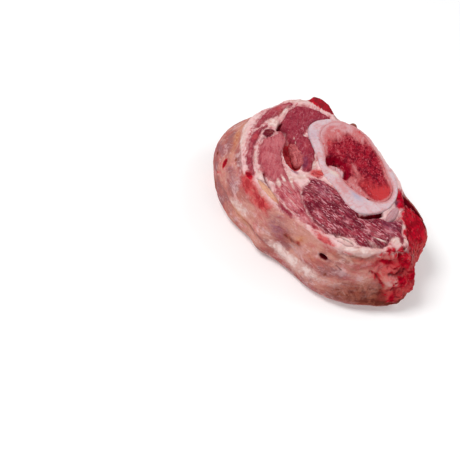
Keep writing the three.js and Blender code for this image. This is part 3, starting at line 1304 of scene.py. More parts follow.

# grooves of the upper face; each dark amount is painted shade in its groove, the first the shadow
# gap under the bone's lower right
FACE_CREASES = (
    Crease(((28.0, -6.4), (29.8, -4.0), (31.4, 0.0), (31.8, 4.2)), 3.0, 1.5, dark=1.5),
    Crease(((-16.7, -26), (-12.6, -28.8), (-8.7, -29.8), (-4.6, -32.8)), 1.6, 0.75, dark=0.85),
    Crease(((-15.4, -31.2), (-11.3, -29.8)), 1.0, 0.6, dark=0.7),
    Crease(((-39.4, 7.2), (-38, 4.6), (-37, 2.8)), 2.6, 0.8, dark=1.6),
    Crease(((-37, 4.4), (-33.6, 3.6), (-30.6, 2), (-27.2, 0)), 1.5, 0.6, dark=0.5),
    Crease(((-50, 13.5), (-46.3, 11.3), (-40.5, 8.8)), 0.6, 0.45, dark=0.35),
    Crease(((-31.8, -17.6), (-27.4, -22.2), (-22.8, -25.8), (-18, -27.6)), 0.9, 0.5, dark=0.4),
    Crease(((-35.4, -4), (-35.6, -8), (-34.4, -12)), 1.1, 0.6, dark=0.4),
    Crease(((31.4, -25.6), (35.5, -23.2), (39.5, -22.6)), 1.4, 0.6, dark=0.9),
    Crease(((34, -27.2), (38, -25.8), (42, -21.5)), 1.0, 0.5, dark=0.7),
    Crease(((32, -23.4), (34.6, -21.6), (38.4, -20.8)), 0.8, 0.5, dark=0.6),
    Crease(((42, -12.6), (44.6, -11), (47.4, -8.4)), -0.8, 0.7),
    Crease(((1.5, -33.4), (6, -33.5), (12, -33.8)), -0.6, 0.45),
    Crease(((39.6, 3), (44, 0.6), (49, 0.4), (52.5, -1.4)), 0.9, 0.6, dark=0.45),
    Crease(((52.4, 4.6), (53.8, 0), (52.6, -5), (53.6, -10)), 1.2, 0.8, dark=0.35),
    Crease(((36, 15.6), (38.4, 10.4), (38, 6)), 1.2, 0.6, dark=0.5),
)

MARK_EDGE = 1.5

FACE_MARKS = make_marks({
    Tint.RED: (
        (-3.6, -2.8, 3, 3.8, -20, 1.2), (26.2, -31.6, 7.5, 3.2, 10, 0.42),
        (50.5, -6, 4, 8, 10, 0.24), (-37.4, -12.6, 1.6, 3.6, 20, 0.6),
        (-21, 6.5, 5.5, 2.6, -42, 0.32), (38.5, 11.5, 2, 4.5, 10, 0.45),
        (-48, 13.5, 1.6, 3, 0, 0.4),
    ),
    Tint.CRIMSON: (
        (-4.4, -1.2, 1, 0.8, -20, 0.4), (-18.6, -33.6, 2.6, 1.3, -35, 1.2),
        (52, -9.5, 0.9, 3, 10, 0.7), (53.4, -5, 1.3, 5, 5, 1.1), (51.4, -12, 1.4, 2.4, 20, 0.8),
        (47.4, 5.2, 2, 1.7, -30, 1.1), (50, 11, 4.6, 6, 30, 1.1), (41, 16, 4.6, 3.4, -30, 1.1),
        (27.6, 22, 2, 5, 45, 0.9), (33, 16.8, 1.6, 2.6, 30, 0.8), (-27.2, -0.2, 4, 1.1, -44, 0.5),
    ),
    Tint.YELLOW: (
        (-3, -1, 1.6, 2, -20, 0.7), (-4.4, -2, 1.4, 1.8, 0, 0.5), (54, 5, 1.6, 5, 20, 0.4),
        (0.6, -34.2, 4, 1, -8, 0.5), (-45.4, 13, 0.9, 3, 15, 0.35),
    ),
    Tint.DARK: (
        (-3.4, -0.8, 0.6, 1, 0, 0.6), (-1.9, -4.3, 0.8, 0.7, 0, 0.8),
        (-4.8, -4.6, 0.8, 0.6, 0, 0.8), (28.6, -25.8, 2.2, 1, -30, 0.55),
        (53.5, -1.6, 1, 1.4, 20, 0.7),
    ),
    Tint.PLUM: (
        # (-10.4, -12) is painted shade at the hollow's lower edge and (-31.6, 22) painted shade
        # beside the raised bone; the other plum marks are the flesh's own purple
        (-10.4, -12, 3.4, 1.2, 10, 0.8), (30.6, 17.5, 1.8, 3.6, 40, 1.1),
        (-12, -3.2, 4.6, 1.6, -48, 0.9), (8, -11, 8, 4.5, -30, 0.5), (24, -13, 6, 4, -30, 0.4),
        (41, 1, 7, 5, -30, 0.6), (-31.6, 22, 1.8, 8, 0, 0.4),
    ),
    Tint.BROWN: ((-37.4, -3, 2, 3.4, -20, 0.45), (-28.4, 35.4, 2.6, 1.4, -20, 0.8)),
    Tint.PALE: (
        # (44.5, -14.5) is a cluster of painted glints
        (44.5, -14.5, 4.5, 2, 30, 0.4), (-42, 4.4, 3, 3.6, 20, 1.1),
        (-44.9, 14.8, 0.9, 4.6, 22, 1.1), (-37, 33.8, 9, 1.7, 18, 1.2),
        # (-27, 3.6) and (-24.6, 2.4) are painted glints
        (-47.5, 26.5, 5, 1.4, 62, 0.9), (-27, 3.6, 1.1, 0.5, -40, 0.8),
        (-24.6, 2.4, 1, 0.4, -40, 0.8), (-26.6, 11, 1.4, 1.1, -30, 0.8),
        (-16.6, -29.2, 4.4, 1.7, -25, 0.8), (-27.4, -21.6, 6.5, 0.7, -43, 0.9),
        (-6, -12, 2, 5, -15, 0.9), (-9, -16.4, 5, 1.1, -35, 0.9), (-4, -20, 5, 1, -35, 0.7),
        (-7.6, -25.4, 3.4, 1.2, -35, 0.9), (-8.6, -21.4, 3, 0.9, -20, 0.8),
        (-2, -24.2, 4, 0.5, -15, 0.6), (6, -29.2, 6, 0.5, -8, 0.6), (-9, 0.5, 4.4, 1.2, -52, 0.7),
        (5, -1.4, 9.5, 1.2, -3, 0.9), (44.4, 7.6, 1.9, 1.7, -30, 1.3),
        (48.4, -3.4, 2.4, 2.2, -40, 1.2), (50.6, 1.6, 1.6, 1.2, -30, 0.9),
        (35.6, -23.8, 4.6, 2.4, 25, 0.9), (44.6, -10.6, 3.6, 0.7, 35, 1),
        (39.5, 9.8, 1, 4, 15, 0.5),
        (6.5, -33.2, 4.8, 0.5, -2, 0.9), (43.5, -22, 9, 2, 48, 0.8),
    ),
}, MARK_EDGE)

WALL_MARKS = make_marks({
    Tint.PALE: (
        (200, 32.5, 12, 2.4, 0, 0.9), (335, 32.5, 20, 2.6, 0, 0.45), (336, 29, 7, 3, 0, 0.35),
        # (297.7, 11.8) is a painted highlight; (296, 11.8) and (298, 10.5) lay the pale wet film
        # round it, partly painted sheen
        (296, 11.8, 11, 2.4, 0, 0.6), (297.7, 11.8, 2, 0.7, -10, 1.4), (312, 13.5, 7, 3, 0, 0.45),
        (335.4, 13, 5, 0.9, 8, 0.4), (351.4, 19.4, 3.2, 2.8, 20, 1), (352.8, 30.2, 1.6, 3.4, 0, 1),
        (334, 15.4, 4, 0.6, 20, 0.5), (245, 16, 9, 3.6, 0, 0.85), (298, 10.5, 17, 5, 0, 0.7),
        (281, 13.6, 8, 2.6, 0, 0.4), (354.4, 15.5, 1.4, 2.8, 10, 0.5),
    ),
    Tint.PLUM: (
        # plum marks grey the wall in broad patches: partly the skin's own mauve, partly painted
        # shade
        (280, 27, 9, 6, 0, 0.44), (228, 24, 8, 5, 0, 0.5), (200, 15, 14, 9, 40, 0.4),
        (222, 9, 12, 6, 0, 0.34), (284, 20.5, 8, 5, -20, 0.46), (302, 4, 16, 3, 0, 0.36),
        (331, 19, 6, 3, 0, 0.4),
    ),
    Tint.BROWN: (
        # the broad low marks towards the torn end, (325, 8), (339, 12.6), (350, 6), (350, 7), (349,
        # 9.6), (354, 9) and (20, 6), darken the lower wall: painted shade over the torn tissue's
        # own brown
        (286, 26, 12, 6, 0, 0.22), (296, 20, 10, 4.4, 6, 0.42), (325, 8, 7, 4, 0, 0.3),
        (350, 7, 9, 3.4, 0, 0.7), (217.7, 28.2, 1.5, 0.8, 0, 1.1), (204, 18.6, 1.2, 1, 0, 0.9),
        (192, 8.6, 1.6, 1.1, 40, 0.9), (212, 7, 7, 4, 30, 0.7), (289, 22.2, 2.4, 2, 0, 0.42),
        (294.5, 22, 3.4, 1.4, -6, 0.3), (299.1, 22.7, 1.6, 1, -20, 0.6),
        (319.1, 16.3, 0.8, 1.4, -20, 0.9), (339, 12.6, 13, 6.6, 0, 0.8), (350, 6, 22, 3.4, 0, 0.6),
        (354, 9, 6, 5, 0, 0.55), (349, 9.6, 4, 3.6, 0, 0.9), (20, 6, 18, 4, 0, 0.5),
        (40, 27, 7, 7.4, 0, 0.9), (116.8, 33.4, 2.8, 3, 0, 1.6),
    ),
    Tint.YELLOW: (
        (306, 26, 9, 4, 0, 0.3), (192, 28.5, 9, 1.8, -6, 0.7), (206, 27, 9, 1.6, -16, 0.55),
        (216, 16.3, 2, 1.4, 0, 0.5), (248, 12.4, 11, 3, -12, 0.7), (299, 25.5, 4.5, 2, 40, 0.6),
        (310, 20.5, 3, 1.6, 0, 0.4), (356, 11, 6, 4.5, 0, 0.6), (20, 22.8, 9, 1.4, 4, 0.6),
        (330, 28.5, 12, 3, 0, 0.45),
    ),
    Tint.RED: (
        (231, 29.5, 5, 3.6, 0, 0.4), (266, 28.6, 8, 3.6, 0, 0.4), (240.5, 30.5, 4.6, 5, -35, 0.75),
        (250, 29.8, 9, 5.6, -16, 0.75), (263, 30.8, 7, 3.8, 30, 0.6), (245, 27.2, 1.4, 1, -35, 0.7),
        (272, 32, 5, 2, 0, 0.35), (216.4, 17, 3.4, 0.8, 45, 0.6), (289.7, 22.7, 1.1, 1.1, 0, 0.4),
        (298.4, 23, 3.2, 1.4, 24, 0.45), (313.5, 33.2, 5.5, 1.5, 0, 0.8),
        (327.6, 31.3, 3, 0.9, -10, 0.6), (334, 28.6, 4, 1.2, 0, 0.45),
        (337.2, 25.6, 5, 2.4, 0, 0.32),
        (350, 26, 8, 6, 0, 0.66), (347, 31, 8, 4.4, 0, 0.28), (343, 21, 5, 4, -30, 0.25),
        (358, 16, 8, 10, 0, 0.7), (350, 11, 6, 4, 0, 0.3), (22, 17, 18, 10, 0, 0.95),
        (116.8, 32.4, 1.6, 1.6, 0, 0.7),
    ),
    Tint.CRIMSON: (
        (238.2, 34, 2.6, 1.8, 0, 1.3), (214.8, 22.4, 2.4, 0.8, -32, 2.4),
        (345, 31.4, 0.8, 2, -20, 0.6), (352.6, 31.6, 0.9, 3, 10, 0.75),
        (349.4, 32.6, 1.2, 1.6, 0, 1),
        (348.6, 27.4, 3.8, 1, -12, 1.1), (357.3, 28, 1.7, 4.2, -8, 1),
        (359.6, 24.6, 1.8, 2.6, 10, 0.9),
        (341.6, 22.8, 1.5, 0.8, -30, 0.8), (343.6, 20.6, 1, 1.2, 0, 0.75),
        (345.4, 21.6, 0.8, 1.4, 20, 0.8), (346.6, 18, 2.4, 0.8, -60, 0.8),
        (356.4, 18.4, 2, 2.4, 0, 1.1), (352.4, 9.6, 1.2, 3, 0, 0.7), (357, 13, 6, 6, 0, 0.34),
        (3.4, 19, 2.6, 2.8, 0, 1.3), (5, 29, 4.6, 4, 0, 0.9), (24, 29, 15, 6.5, 0, 1.2),
    ),
    Tint.DARK: (
        # dark marks are also sunk in: the hole, the torn end's pits and the lobe's dark upper edge,
        # their dark partly the tissue's own and partly painted shade
        (315.8, 24.4, 2, 1.2, -12, 2.4), (345.2, 20, 2.4, 0.5, -55, 0.5),
        (353.6, 12, 0.8, 3.6, 10, 0.6), (357.4, 21.6, 3, 0.7, 30, 0.8),
        (40.6, 30.6, 4.2, 3, 0, 1.3), (41.2, 27.4, 4, 2.8, 0, 1.3),
        (39, 24.6, 3.6, 2.2, 20, 1.3), (33.6, 23.6, 3.4, 1.4, 20, 1.1),
    ),
}, MARK_EDGE, wall=True)


def wall_crease(depth: float, width: float, dark: float, *places: Pair) -> Crease:
    """Make a groove of the wall through places given as angle and height."""
    return Crease(tuple(on_wall(angle, level) for angle, level in places), depth, width, dark)


# grooves of the wall; the third number is painted shade in the groove
WALL_CREASES = (
    wall_crease(0.9, 1.7, 0.0, (226, 13.8), (237, 12.5), (253, 9.4), (269, 10), (283, 7.6),
                (304, 4.2)),
    wall_crease(-0.8, 2.0, 0.0, (235, 16.8), (253, 13.6), (270, 14), (286, 11.6), (303, 9.5)),
    wall_crease(0.7, 0.5, 1.2, (323.2, 23.1), (324.8, 22.4), (326.2, 21.6)),
    wall_crease(0.5, 0.6, 0.0, (282, 13.6), (287, 12.8)),
    wall_crease(1.2, 0.8, 0.3, (341, 22.8), (344, 21.5), (346.4, 18), (347.5, 12)),
    wall_crease(1.2, 0.9, 0.25, (344, 27.5), (348, 28.6), (352, 27.5), (356, 29)),
    wall_crease(2.4, 0.8, 1.2, (350.6, 21.6), (353.3, 21.2), (355.6, 22.2), (357, 23.6)),
    wall_crease(1.8, 1.0, 0.5, (355, 32.5), (356.4, 27), (358.4, 24), (359, 20.5), (2, 15.6)),
    wall_crease(1.2, 0.8, 0.4, (352, 16), (356, 14.6), (1, 9)),
    wall_crease(1.0, 0.7, 0.3, (330, 30), (337, 28.5), (343, 31.5)),
    wall_crease(1.6, 1.3, 0.4, (5, 33), (14, 31), (26, 31.5), (38, 32)),
    wall_crease(0.6, 1.6, 0.0, (196, 33), (206, 24), (214, 12), (219, 4)),
    wall_crease(-0.5, 1.6, 0.0, (190, 32), (197, 24), (203, 12)),
)

WALL_LUMPS = (
    Lump(6, 11.5, (3.4, 4.0), 1.6),
    Lump(3.2, 19.0, (2.4, 2.6), 1.6),
    Lump(2, 27.6, (2.6, 4.0), 1.4),
    Lump(350.6, 18, (3.2, 2.8), 1.4),
    Lump(137, 33.0, (9.0, 6.0), 1.8),
)

RIM_FLAPS = (
    Lump(137.4, 33.0, (5.0, 4.8), 6.6),
    Lump(116.8, 33.4, (2.2, 2.4), 2.6),
)

FACE_RELIEF = (
    ((-39, 20), 9, 0.9), ((-29, -12), 10, 0.7), ((14, -16), 13, 1.1), ((40, -3), 8, 0.8),
    ((-42, 4), 4, -1.2), ((-7, -12), 5, -0.8), ((45, 7), 2.2, 1.6), ((48.4, -3.6), 2.4, 1.2),
    ((-3.4, -2.8), 2.0, -1.2), ((36, -23.6), 3.0, 0.8),
)


@dataclass(frozen=True)
class Hollow:
    """The hollow between two muscles that the vessel lies in."""

    at: Pair = (-18.6, -5.2)
    half: Pair = (10.2, 4.6)
    turn: float = -36.0
    depth: float = 5.6

    def cut(self, spots: np.ndarray) -> np.ndarray:
        """Give how deep the hollow is at spots of the face."""
        reach = oval_reach(spots, self.at, self.half, self.turn)
        return self.depth * np.sqrt((1 - reach).clip(0))


HOLLOW = Hollow()
HOLLOW_TINTS = (  # painted shade, darker with depth: a tint, its strength, and the depths where it starts and is full
    (Tint.RED, 1.4, 0.5, 2.4),
    (Tint.CRIMSON, 0.5, 1.5, 4.5),
    (Tint.DARK, 0.5, 2.6, 5.4),
)


@dataclass(frozen=True)
class Column:
    """A piece that runs through the slice: its outline on the upper face and its lean."""

    centre: Pair
    lean: Pair
    radii: tuple[float, ...] = ()
    half: Pair = (0.0, 0.0)
    turn: float = 0.0

    def loop(self, count: int, level: float, grow: float = 0.0) -> np.ndarray:
        """Draw the piece's outline at a height.

        Args:
            count: How many points.
            level: The height.
            grow: How far outside the outline.

        Returns:
            The points, one row each.
        """
        angle = directions(count)
        if self.radii:
            radius = smooth_radius(self.radii, angle)
        else:
            swing = angle - math.radians(self.turn)
            radius = 1 / np.hypot(np.cos(swing) / self.half[0], np.sin(swing) / self.half[1])
        down = 1 - level / TOP
        x = self.centre[0] + self.lean[0] * down + (radius + grow) * np.cos(angle)
        y = self.centre[1] + self.lean[1] * down + (radius + grow) * np.sin(angle)
        return np.column_stack([x, y, np.full(count, float(level))])

    def outline(self, count: int, level: float = TOP) -> np.ndarray:
        """Give the piece's flat outline at a height."""
        return self.loop(count, level)[:, :2]


BONE = Column((0.5, 18.0), (0.0, -5.0), radii=(
    28.4, 22.8, 19.0, 16.6, 17.6, 22.9, 28.8, 32.4,
    31.0, 22.5, 18.0, 18.1, 19.6, 23.0, 34.4, 33.6,
))
CORE = Column((1.0, 20.0), (0.0, -5.0), radii=(
    23.6, 16.0, 13.3, 13.0, 13.8, 17.5, 25.2, 28.8,
    25.2, 17.8, 15.7, 16.0, 13.2, 17.0, 22.5, 27.9,
))
LIGAMENT = Column((-6.6, -33.0), (0.0, 8.5), half=(8.6, 2.0), turn=-10)
CARTILAGE = Column((35.2, 9.0), (0.0, 0.0), half=(6.4, 2.1), turn=-70)

# corners of the flat outlines that distances are measured from
BONE_CORNERS = 90
CORE_CORNERS = 120
LIGAMENT_CORNERS = 60
CARTILAGE_CORNERS = 28


FAR_OUTSIDE = -3.0  # the lean's depth on the wall, where no muscle shows
FLAP_START = 125  # degrees; the red flap begins here, and the brown nub lies before it
FLAP_FOOT = 15  # the flaps end at this height


@dataclass
class Meat(Piece):
    """Lean, fat and skin of the slice as one closed skin with its channels."""

    name: str = "lamb_neck_meat"
    around: int = 640
    wall_rings: int = 44
    foot_rings: int = 12
    rim_rings: int = 5
    face_pitch: float = 0.36
    lower_pitch: float = 1.0
    bone_points: int = 340
    ligament_points: int = 100
    seat: float = -0.06
    torn: Pair = (2.0, 26.0)  # middle and width of the torn end, in degrees
    lobe: Pair = (27.0, 14.0)  # of the red lobe
    bloody: Pair = (12.0, 30.0)  # of what the blood beads cover
    bare: Pair = (276.0, 34.0)  # of the stretch where the skin reaches the upper face
    under_scale: float = 0.93  # of the muscles on the lower face over those on the upper

    def _skin(self) -> Shell:
        """Lay out the undisturbed skin.

        Returns:
            The skin with its channels.
        """
        shell = Shell()
        angle = directions(self.around)
        steps = [(1 - step / self.foot_rings, 0.0, 0.0) for step in range(self.foot_rings)]
        steps += [(0.0, step / self.wall_rings, 0.0) for step in range(self.wall_rings + 1)]
        steps += [(0.0, 1.0, (step + 1) / self.rim_rings) for step in range(self.rim_rings)]
        rings = [shell.add(FORM.wall_ring(angle, *step)) for step in steps]
        shell.wall(rings)
        channels = []
        for column, count in ((BONE, self.bone_points), (LIGAMENT, self.ligament_points)):
            holes = shell.rings(column, count, (*CHANNEL_LEVELS, TOP), self.seat)
            shell.wall(holes, inward=True)
            channels.append(holes)
        shell.cap(rings[0], [holes[0] for holes in channels], self.lower_pitch, up=False)
        shell.cap(rings[-1], [holes[-1] for holes in channels], self.face_pitch, up=True)
        return shell

    def _muscle_traits(self, spots: np.ndarray) -> dict[str, np.ndarray]:
        """Give the traits that follow from the muscles' outlines.

        Args:
            spots: Places on a cut face.

        Returns:
            Each trait's values, by name.
        """
        count = len(spots)
        best = np.full(count, -INSIDE_REACH)
        picks = {key: np.zeros(count) for key in ("tone", "swell", "coarse", "streaks")}
        grain = np.zeros((count, 3))
        fibre = np.zeros((count, 3))
        for number, muscle in enumerate(MUSCLES):
            depth = depth_inside(spots, closed_curve(muscle.points))
            wins = depth > best
            best = np.where(wins, depth, best)
            for key, store in picks.items():
                store[wins] = getattr(muscle, key)
            grain[wins, :2] = turned(spots, muscle.grain)[wins]
            grain[wins, 2] = number * 9.7
            turn = math.radians(muscle.grain)
            fibre[wins] = (math.cos(turn), math.sin(turn), 0.0)
        return {"lean": best, "grain": grain, "fibre": fibre, **picks}

    def _face_relief(self, points: np.ndarray, traits: dict[str, np.ndarray],
                     upper: np.ndarray) -> np.ndarray:
        """Work out how far each point of the upper face rises.

        Args:
            points: The skin's points.
            traits: The points' traits; the ridges and the painted shade of the grooves and the
                hollow are added here.
            upper: How much each point belongs to the upper face.

        Returns:
            The rise of each point.
        """
        flat = points[:, :2]
        deep = traits["lean"]
        inside_lean = smooth_step(0.0, 1.2, deep)
        rise = traits["swell"] * (1 - np.exp(-deep.clip(0) / 2.2)) - 0.55 * bell(deep / 0.6)
        for at, reach, height in FACE_RELIEF:
            gap = np.hypot(flat[:, 0] - at[0], flat[:, 1] - at[1]) / reach
            rise = rise + height * np.exp(-0.5 * gap**2) * 0.6
        strands = NOISE.layers(traits["grain"] / (5.0, 1.6, 1.0), 3, 0.45)
        folds = NOISE.layers(points / 3.4 + 5, 4, 0.6)
        ridge = strands * traits["coarse"] * inside_lean + folds * (1 - inside_lean)
        # the finish paints light and shade from this ridge trait
        traits["ridge"] = ridge * upper
        rise = rise + strands * (0.12 + 0.38 * traits["coarse"]) * inside_lean
        rise = rise + folds * (1 - 0.6 * inside_lean)
        for crease in FACE_CREASES:
            share = crease.share(flat) * upper
            rise = rise - crease.depth * share
            # painted shade along the groove
            traits["dark"] = traits["dark"] + crease.dark * share
        hollow = HOLLOW.cut(flat) * upper
        # the hollow is painted darker red the deeper it goes: painted shade
        for tint, most, shallow, deepest in HOLLOW_TINTS:
            painted_shade = most * smooth_step(shallow, deepest, hollow)
            traits[tint.value] = traits[tint.value] + painted_shade
        rise = rise - hollow * (1 + 0.15 * NOISE.layers(points / 2.0 + 9, 3))
        tongue = CARTILAGE.outline(CARTILAGE_CORNERS)
        rise = rise - 0.7 * bell(line_distance(flat, tongue, closed=True) / 1.2)
        rise = rise - 0.8 * bell(self._rim_gap(points) / 1.6)
        bone_gap = -depth_inside(flat, BONE.outline(BONE_CORNERS))
        return rise * smooth_step(-0.2, 0.8, bone_gap) + 0.35 * bell(bone_gap / 1.2)

    def _wall_push(self, points: np.ndarray, strip: np.ndarray, degrees: np.ndarray,
                   traits: dict[str, np.ndarray]) -> np.ndarray:
        """Work out how far each point of the wall moves outwards.

        Args:
            points: The skin's points.
            strip: Their unrolled places.
            degrees: Their angles.
            traits: The points' traits; the painted shade of the grooves is added here.

        Returns:
            The push of each point.
        """
        stretches = (self.torn, self.lobe)
        torn, lobe = (bell(apart(degrees, middle) / width) for middle, width in stretches)
        swells = NOISE.layers(points / (9.0, 9.0, 4.5), 4, 0.55)
        ragged = NOISE.layers(points / 3.4 + 3, 4, 0.65)
        push = 0.65 * swells + torn * (1.5 * ragged - 0.4)
        traits["ridge"] = traits["ridge"] + (swells * (1 - torn) + ragged * torn) * traits["skin"]
        push = push + lobe * 0.7 * (np.abs(NOISE.layers(points / 2.0 + 13, 2)) - 0.2)
        for crease in WALL_CREASES:
            share = crease.share(strip)
            push = push - crease.depth * share
            # painted shade along the groove, on the skin
            traits["dark"] = traits["dark"] + 0.7 * crease.dark * share * traits["skin"]
        # dark marks are also sunk in; their dark is partly painted shade in these pits
        for mark in WALL_MARKS:
            if mark.tint is Tint.DARK:
                push = push - 1.1 * mark.share(strip)
        for lump in WALL_LUMPS:
            push = push + lump.share(strip)
        return push * smooth_step(0.2, 3.0, points[:, 2])

    def _rim_gap(self, points: np.ndarray) -> np.ndarray:
        """Give how far points stand inside the undisturbed wall at their height."""
        x, y, level = points.T
        return FORM.wall_radius(np.arctan2(y, x), level) - np.hypot(x, y)

    def shape(self) -> Shape:
        """Shape the meat and paint its traits.

        Returns:
            Its points, triangles and traits.
        """
        shell = self._skin()
        points = shell.points
        flat, level = points[:, :2].copy(), points[:, 2].copy()
        angle = np.arctan2(points[:, 1], points[:, 0])
        degrees = np.degrees(angle) % 360
        strip = unrolled(degrees, level)
        rim_gap = self._rim_gap(points)
        upper = smooth_step(TOP - 1.6, TOP - 0.3, level)
        lower = 1 - smooth_step(0.4, 2.5, level)
        scale = np.where(level > TOP / 2, 1.0, self.under_scale)[:, None]
        warp = np.stack([NOISE.layers(points / 4.0 + shift, 2) for shift in (0, 31)], axis=1)
        traits = self._muscle_traits(flat / scale + 0.8 * warp)
        on_face = np.maximum(upper, lower)
        traits["lean"] = np.where(on_face > 0.5, traits["lean"], FAR_OUTSIDE)
        traits["skin"] = 1 - on_face
        middle, width = self.bare
        bare = np.exp(-(((degrees - middle) / width) ** 4))
        climb = TOP - level - rim_gap.clip(0) * upper + 3.6 * bare
        traits["hide"] = smooth_step(-0.6, 5.4, climb) * (1 - lower)
        near_wall = (1 - smooth_step(0.6, 3.2, rim_gap)) * (level > 0.5)
        lay_marks(traits, FACE_MARKS, flat, upper)
        lay_marks(traits, WALL_MARKS, strip, near_wall)
        rise = self._face_relief(points, traits, upper) * upper
        push = self._wall_push(points, strip, degrees, traits)
        push = push * self._rim_share(flat, rim_gap, level)
        flap = sum(lump.share(strip) for lump in RIM_FLAPS) * (1 - smooth_step(0.0, 2.6, rim_gap))
        traits["crimson"] += 1.6 * smooth_step(0.7, 1.8, flap) * (degrees > FLAP_START)
        push = push + flap * (level > FLAP_FOOT)
        points[:, 0] += push * np.cos(angle)
        points[:, 1] += push * np.sin(angle)
        points[:, 2] += rise
        points[:, 2] += 0.16 * flap * upper
        middle, width = self.bloody
        bloody = ((traits["red"] + traits["crimson"]) * traits["skin"]).clip(0, 1)
        traits["beads"] = bloody * bell(apart(degrees, middle) / width)
        clusters = smooth_step(-0.15, 0.35, NOISE.layers(points / 5.0 + 23, 2))
        strands = smooth_step(0.5, 0.9, traits["coarse"]) * smooth_step(0.3, 1.2, traits["lean"])
        traits["bundles"] = strands * upper * (0.06 + 0.94 * clusters)
        return points, shell.faces, traits

    def _rim_share(self, flat: np.ndarray, gap: np.ndarray, level: np.ndarray) -> np.ndarray:
        """Give how much of the wall's push a point takes, fading inwards on the faces.

        Args:
            flat: The points' places in the plane.
            gap: How far they stand inside the undisturbed wall.
            level: Their heights.

        Returns:
            The share of each point.
        """
        on_wall_band = (level > 0.5) & (level < TOP - 0.01) & (gap < 9.5)
        bone = depth_inside(flat, BONE.outline(BONE_CORNERS))
        band = depth_inside(flat, LIGAMENT.outline(LIGAMENT_CORNERS))
        clear = smooth_step(0.0, 2.0, -np.maximum(bone, band))
        inner = np.where(level > 0.5, 1 - smooth_step(0.8, 5.0, gap), 0.0) * clear
        return np.where(on_wall_band, 1.0, inner)


# ------------------------------------------------------------------ strewn grains


GRAIN_WAVE = 1.1  # length in millimetres of the waves that make a grain uneven


class StrewGraph(Graph):
    """Geometry Nodes that strew small grains over a piece where a trait is strong."""

    def __init__(self, name: str) -> None:
        """Start a node group with its named inputs.

        Args:
            name: The group's name.
        """
        self.group = bpy.data.node_groups.new(name, "GeometryNodeTree")
        sockets = self.group.interface
        sockets.new_socket("Piece", in_out="INPUT", socket_type="NodeSocketGeometry")
        for title, kind in (("Spacing", "Float"), ("Density", "Float"), ("Seed", "Int"),
                            ("Smallest", "Vector"), ("Largest", "Vector"), ("Rough", "Float")):
            sockets.new_socket(title, in_out="INPUT", socket_type=f"NodeSocket{kind}")
        sockets.new_socket("Grains", in_out="OUTPUT", socket_type="NodeSocketGeometry")
        super().__init__(self.group.nodes, self.group.links)
        self._given = self._nodes.new("NodeGroupInput")

    def given(self, title: str) -> Wire:
        """Read one of the group's inputs."""
        return Wire(self, self._given.outputs[title])

    def trait(self, name: str, kind: str = "FLOAT") -> Wire:
        """Read a trait of the piece."""
        return self.node("GeometryNodeInputNamedAttribute", {"data_type": kind}, {"Name": name})

    def draw(self, kind: str, low: Wire | tuple | float, high: Wire | tuple | float) -> Wire:
        """Draw a seeded random value.

        Args:
            kind: FLOAT for one number, FLOAT_VECTOR for three.
            low: The lower limit.
            high: The upper limit.

        Returns:
            The value.
        """
        output, first = (0, 0) if kind == "FLOAT_VECTOR" else (1, 2)
        inputs = {first: low, first + 1: high, "Seed": self.given("Seed")}
        return self.node("FunctionNodeRandomValue", {"data_type": kind}, inputs, output)

    def build(self, weight: str, way: str, finish: bpy.types.Material) -> None:
        """Join the nodes.

        Args:
            weight: The trait that says where grains lie, from 0 to 1.
            way: The trait that the grains' long sides follow.
            finish: The grains' material.
        """
        strewn = {
            "Mesh": self.given("Piece"),
            "Distance Min": self.given("Spacing"),
            "Density Max": self.given("Density"),
            "Density Factor": self.trait(weight),
            "Seed": self.given("Seed"),
        }
        kind = "GeometryNodeDistributePointsOnFaces"
        spots = self.node(kind, {"distribute_method": "POISSON"}, strewn)
        upright = Wire(self, spots.socket.node.outputs["Rotation"])
        along = {"Rotation": upright, "Vector": self.trait(way, "FLOAT_VECTOR")}
        axes = {"axis": "X", "pivot_axis": "Z"}
        facing = self.node("FunctionNodeAlignRotationToVector", axes, along)
        grain = self.node("GeometryNodeMeshIcoSphere", {}, {"Radius": 1.0, "Subdivisions": 2})
        placed = {
            "Points": spots,
            "Instance": grain,
            "Rotation": facing,
            "Scale": self.draw("FLOAT_VECTOR", self.given("Smallest"), self.given("Largest")),
        }
        grains = self.node("GeometryNodeInstanceOnPoints", {}, placed)
        shade = {"Geometry": grains, "Name": "shade", "Value": self.draw("FLOAT", 0.0, 1.0)}
        settings = {"data_type": "FLOAT", "domain": "INSTANCE"}
        shaded = self.node("GeometryNodeStoreNamedAttribute", settings, shade)
        single = self.node("GeometryNodeRealizeInstances", {}, {"Geometry": shaded})
        spot = self.node("GeometryNodeInputPosition")
        wave = {"Vector": spot, "Scale": 1 / (GRAIN_WAVE * MM), "Detail": 2.0}
        wobble = self.node("ShaderNodeTexNoise", {"noise_dimensions": "3D"}, wave, "Color")
        kind = "ShaderNodeVectorMath"
        centred = self.node(kind, {"operation": "SUBTRACT"}, {0: wobble, 1: (0.5, 0.5, 0.5)})
        reach = {0: centred, "Scale": self.given("Rough")}
        shift = self.node(kind, {"operation": "SCALE"}, reach)
        uneven = self.node("GeometryNodeSetPosition", {}, {"Geometry": single, "Offset": shift})
        smooth = self.node("GeometryNodeSetShadeSmooth", {}, {"Geometry": uneven})
        dressed = {"Geometry": smooth, "Material": finish}
        self.end("NodeGroupOutput", self.node("GeometryNodeSetMaterial", {}, dressed))


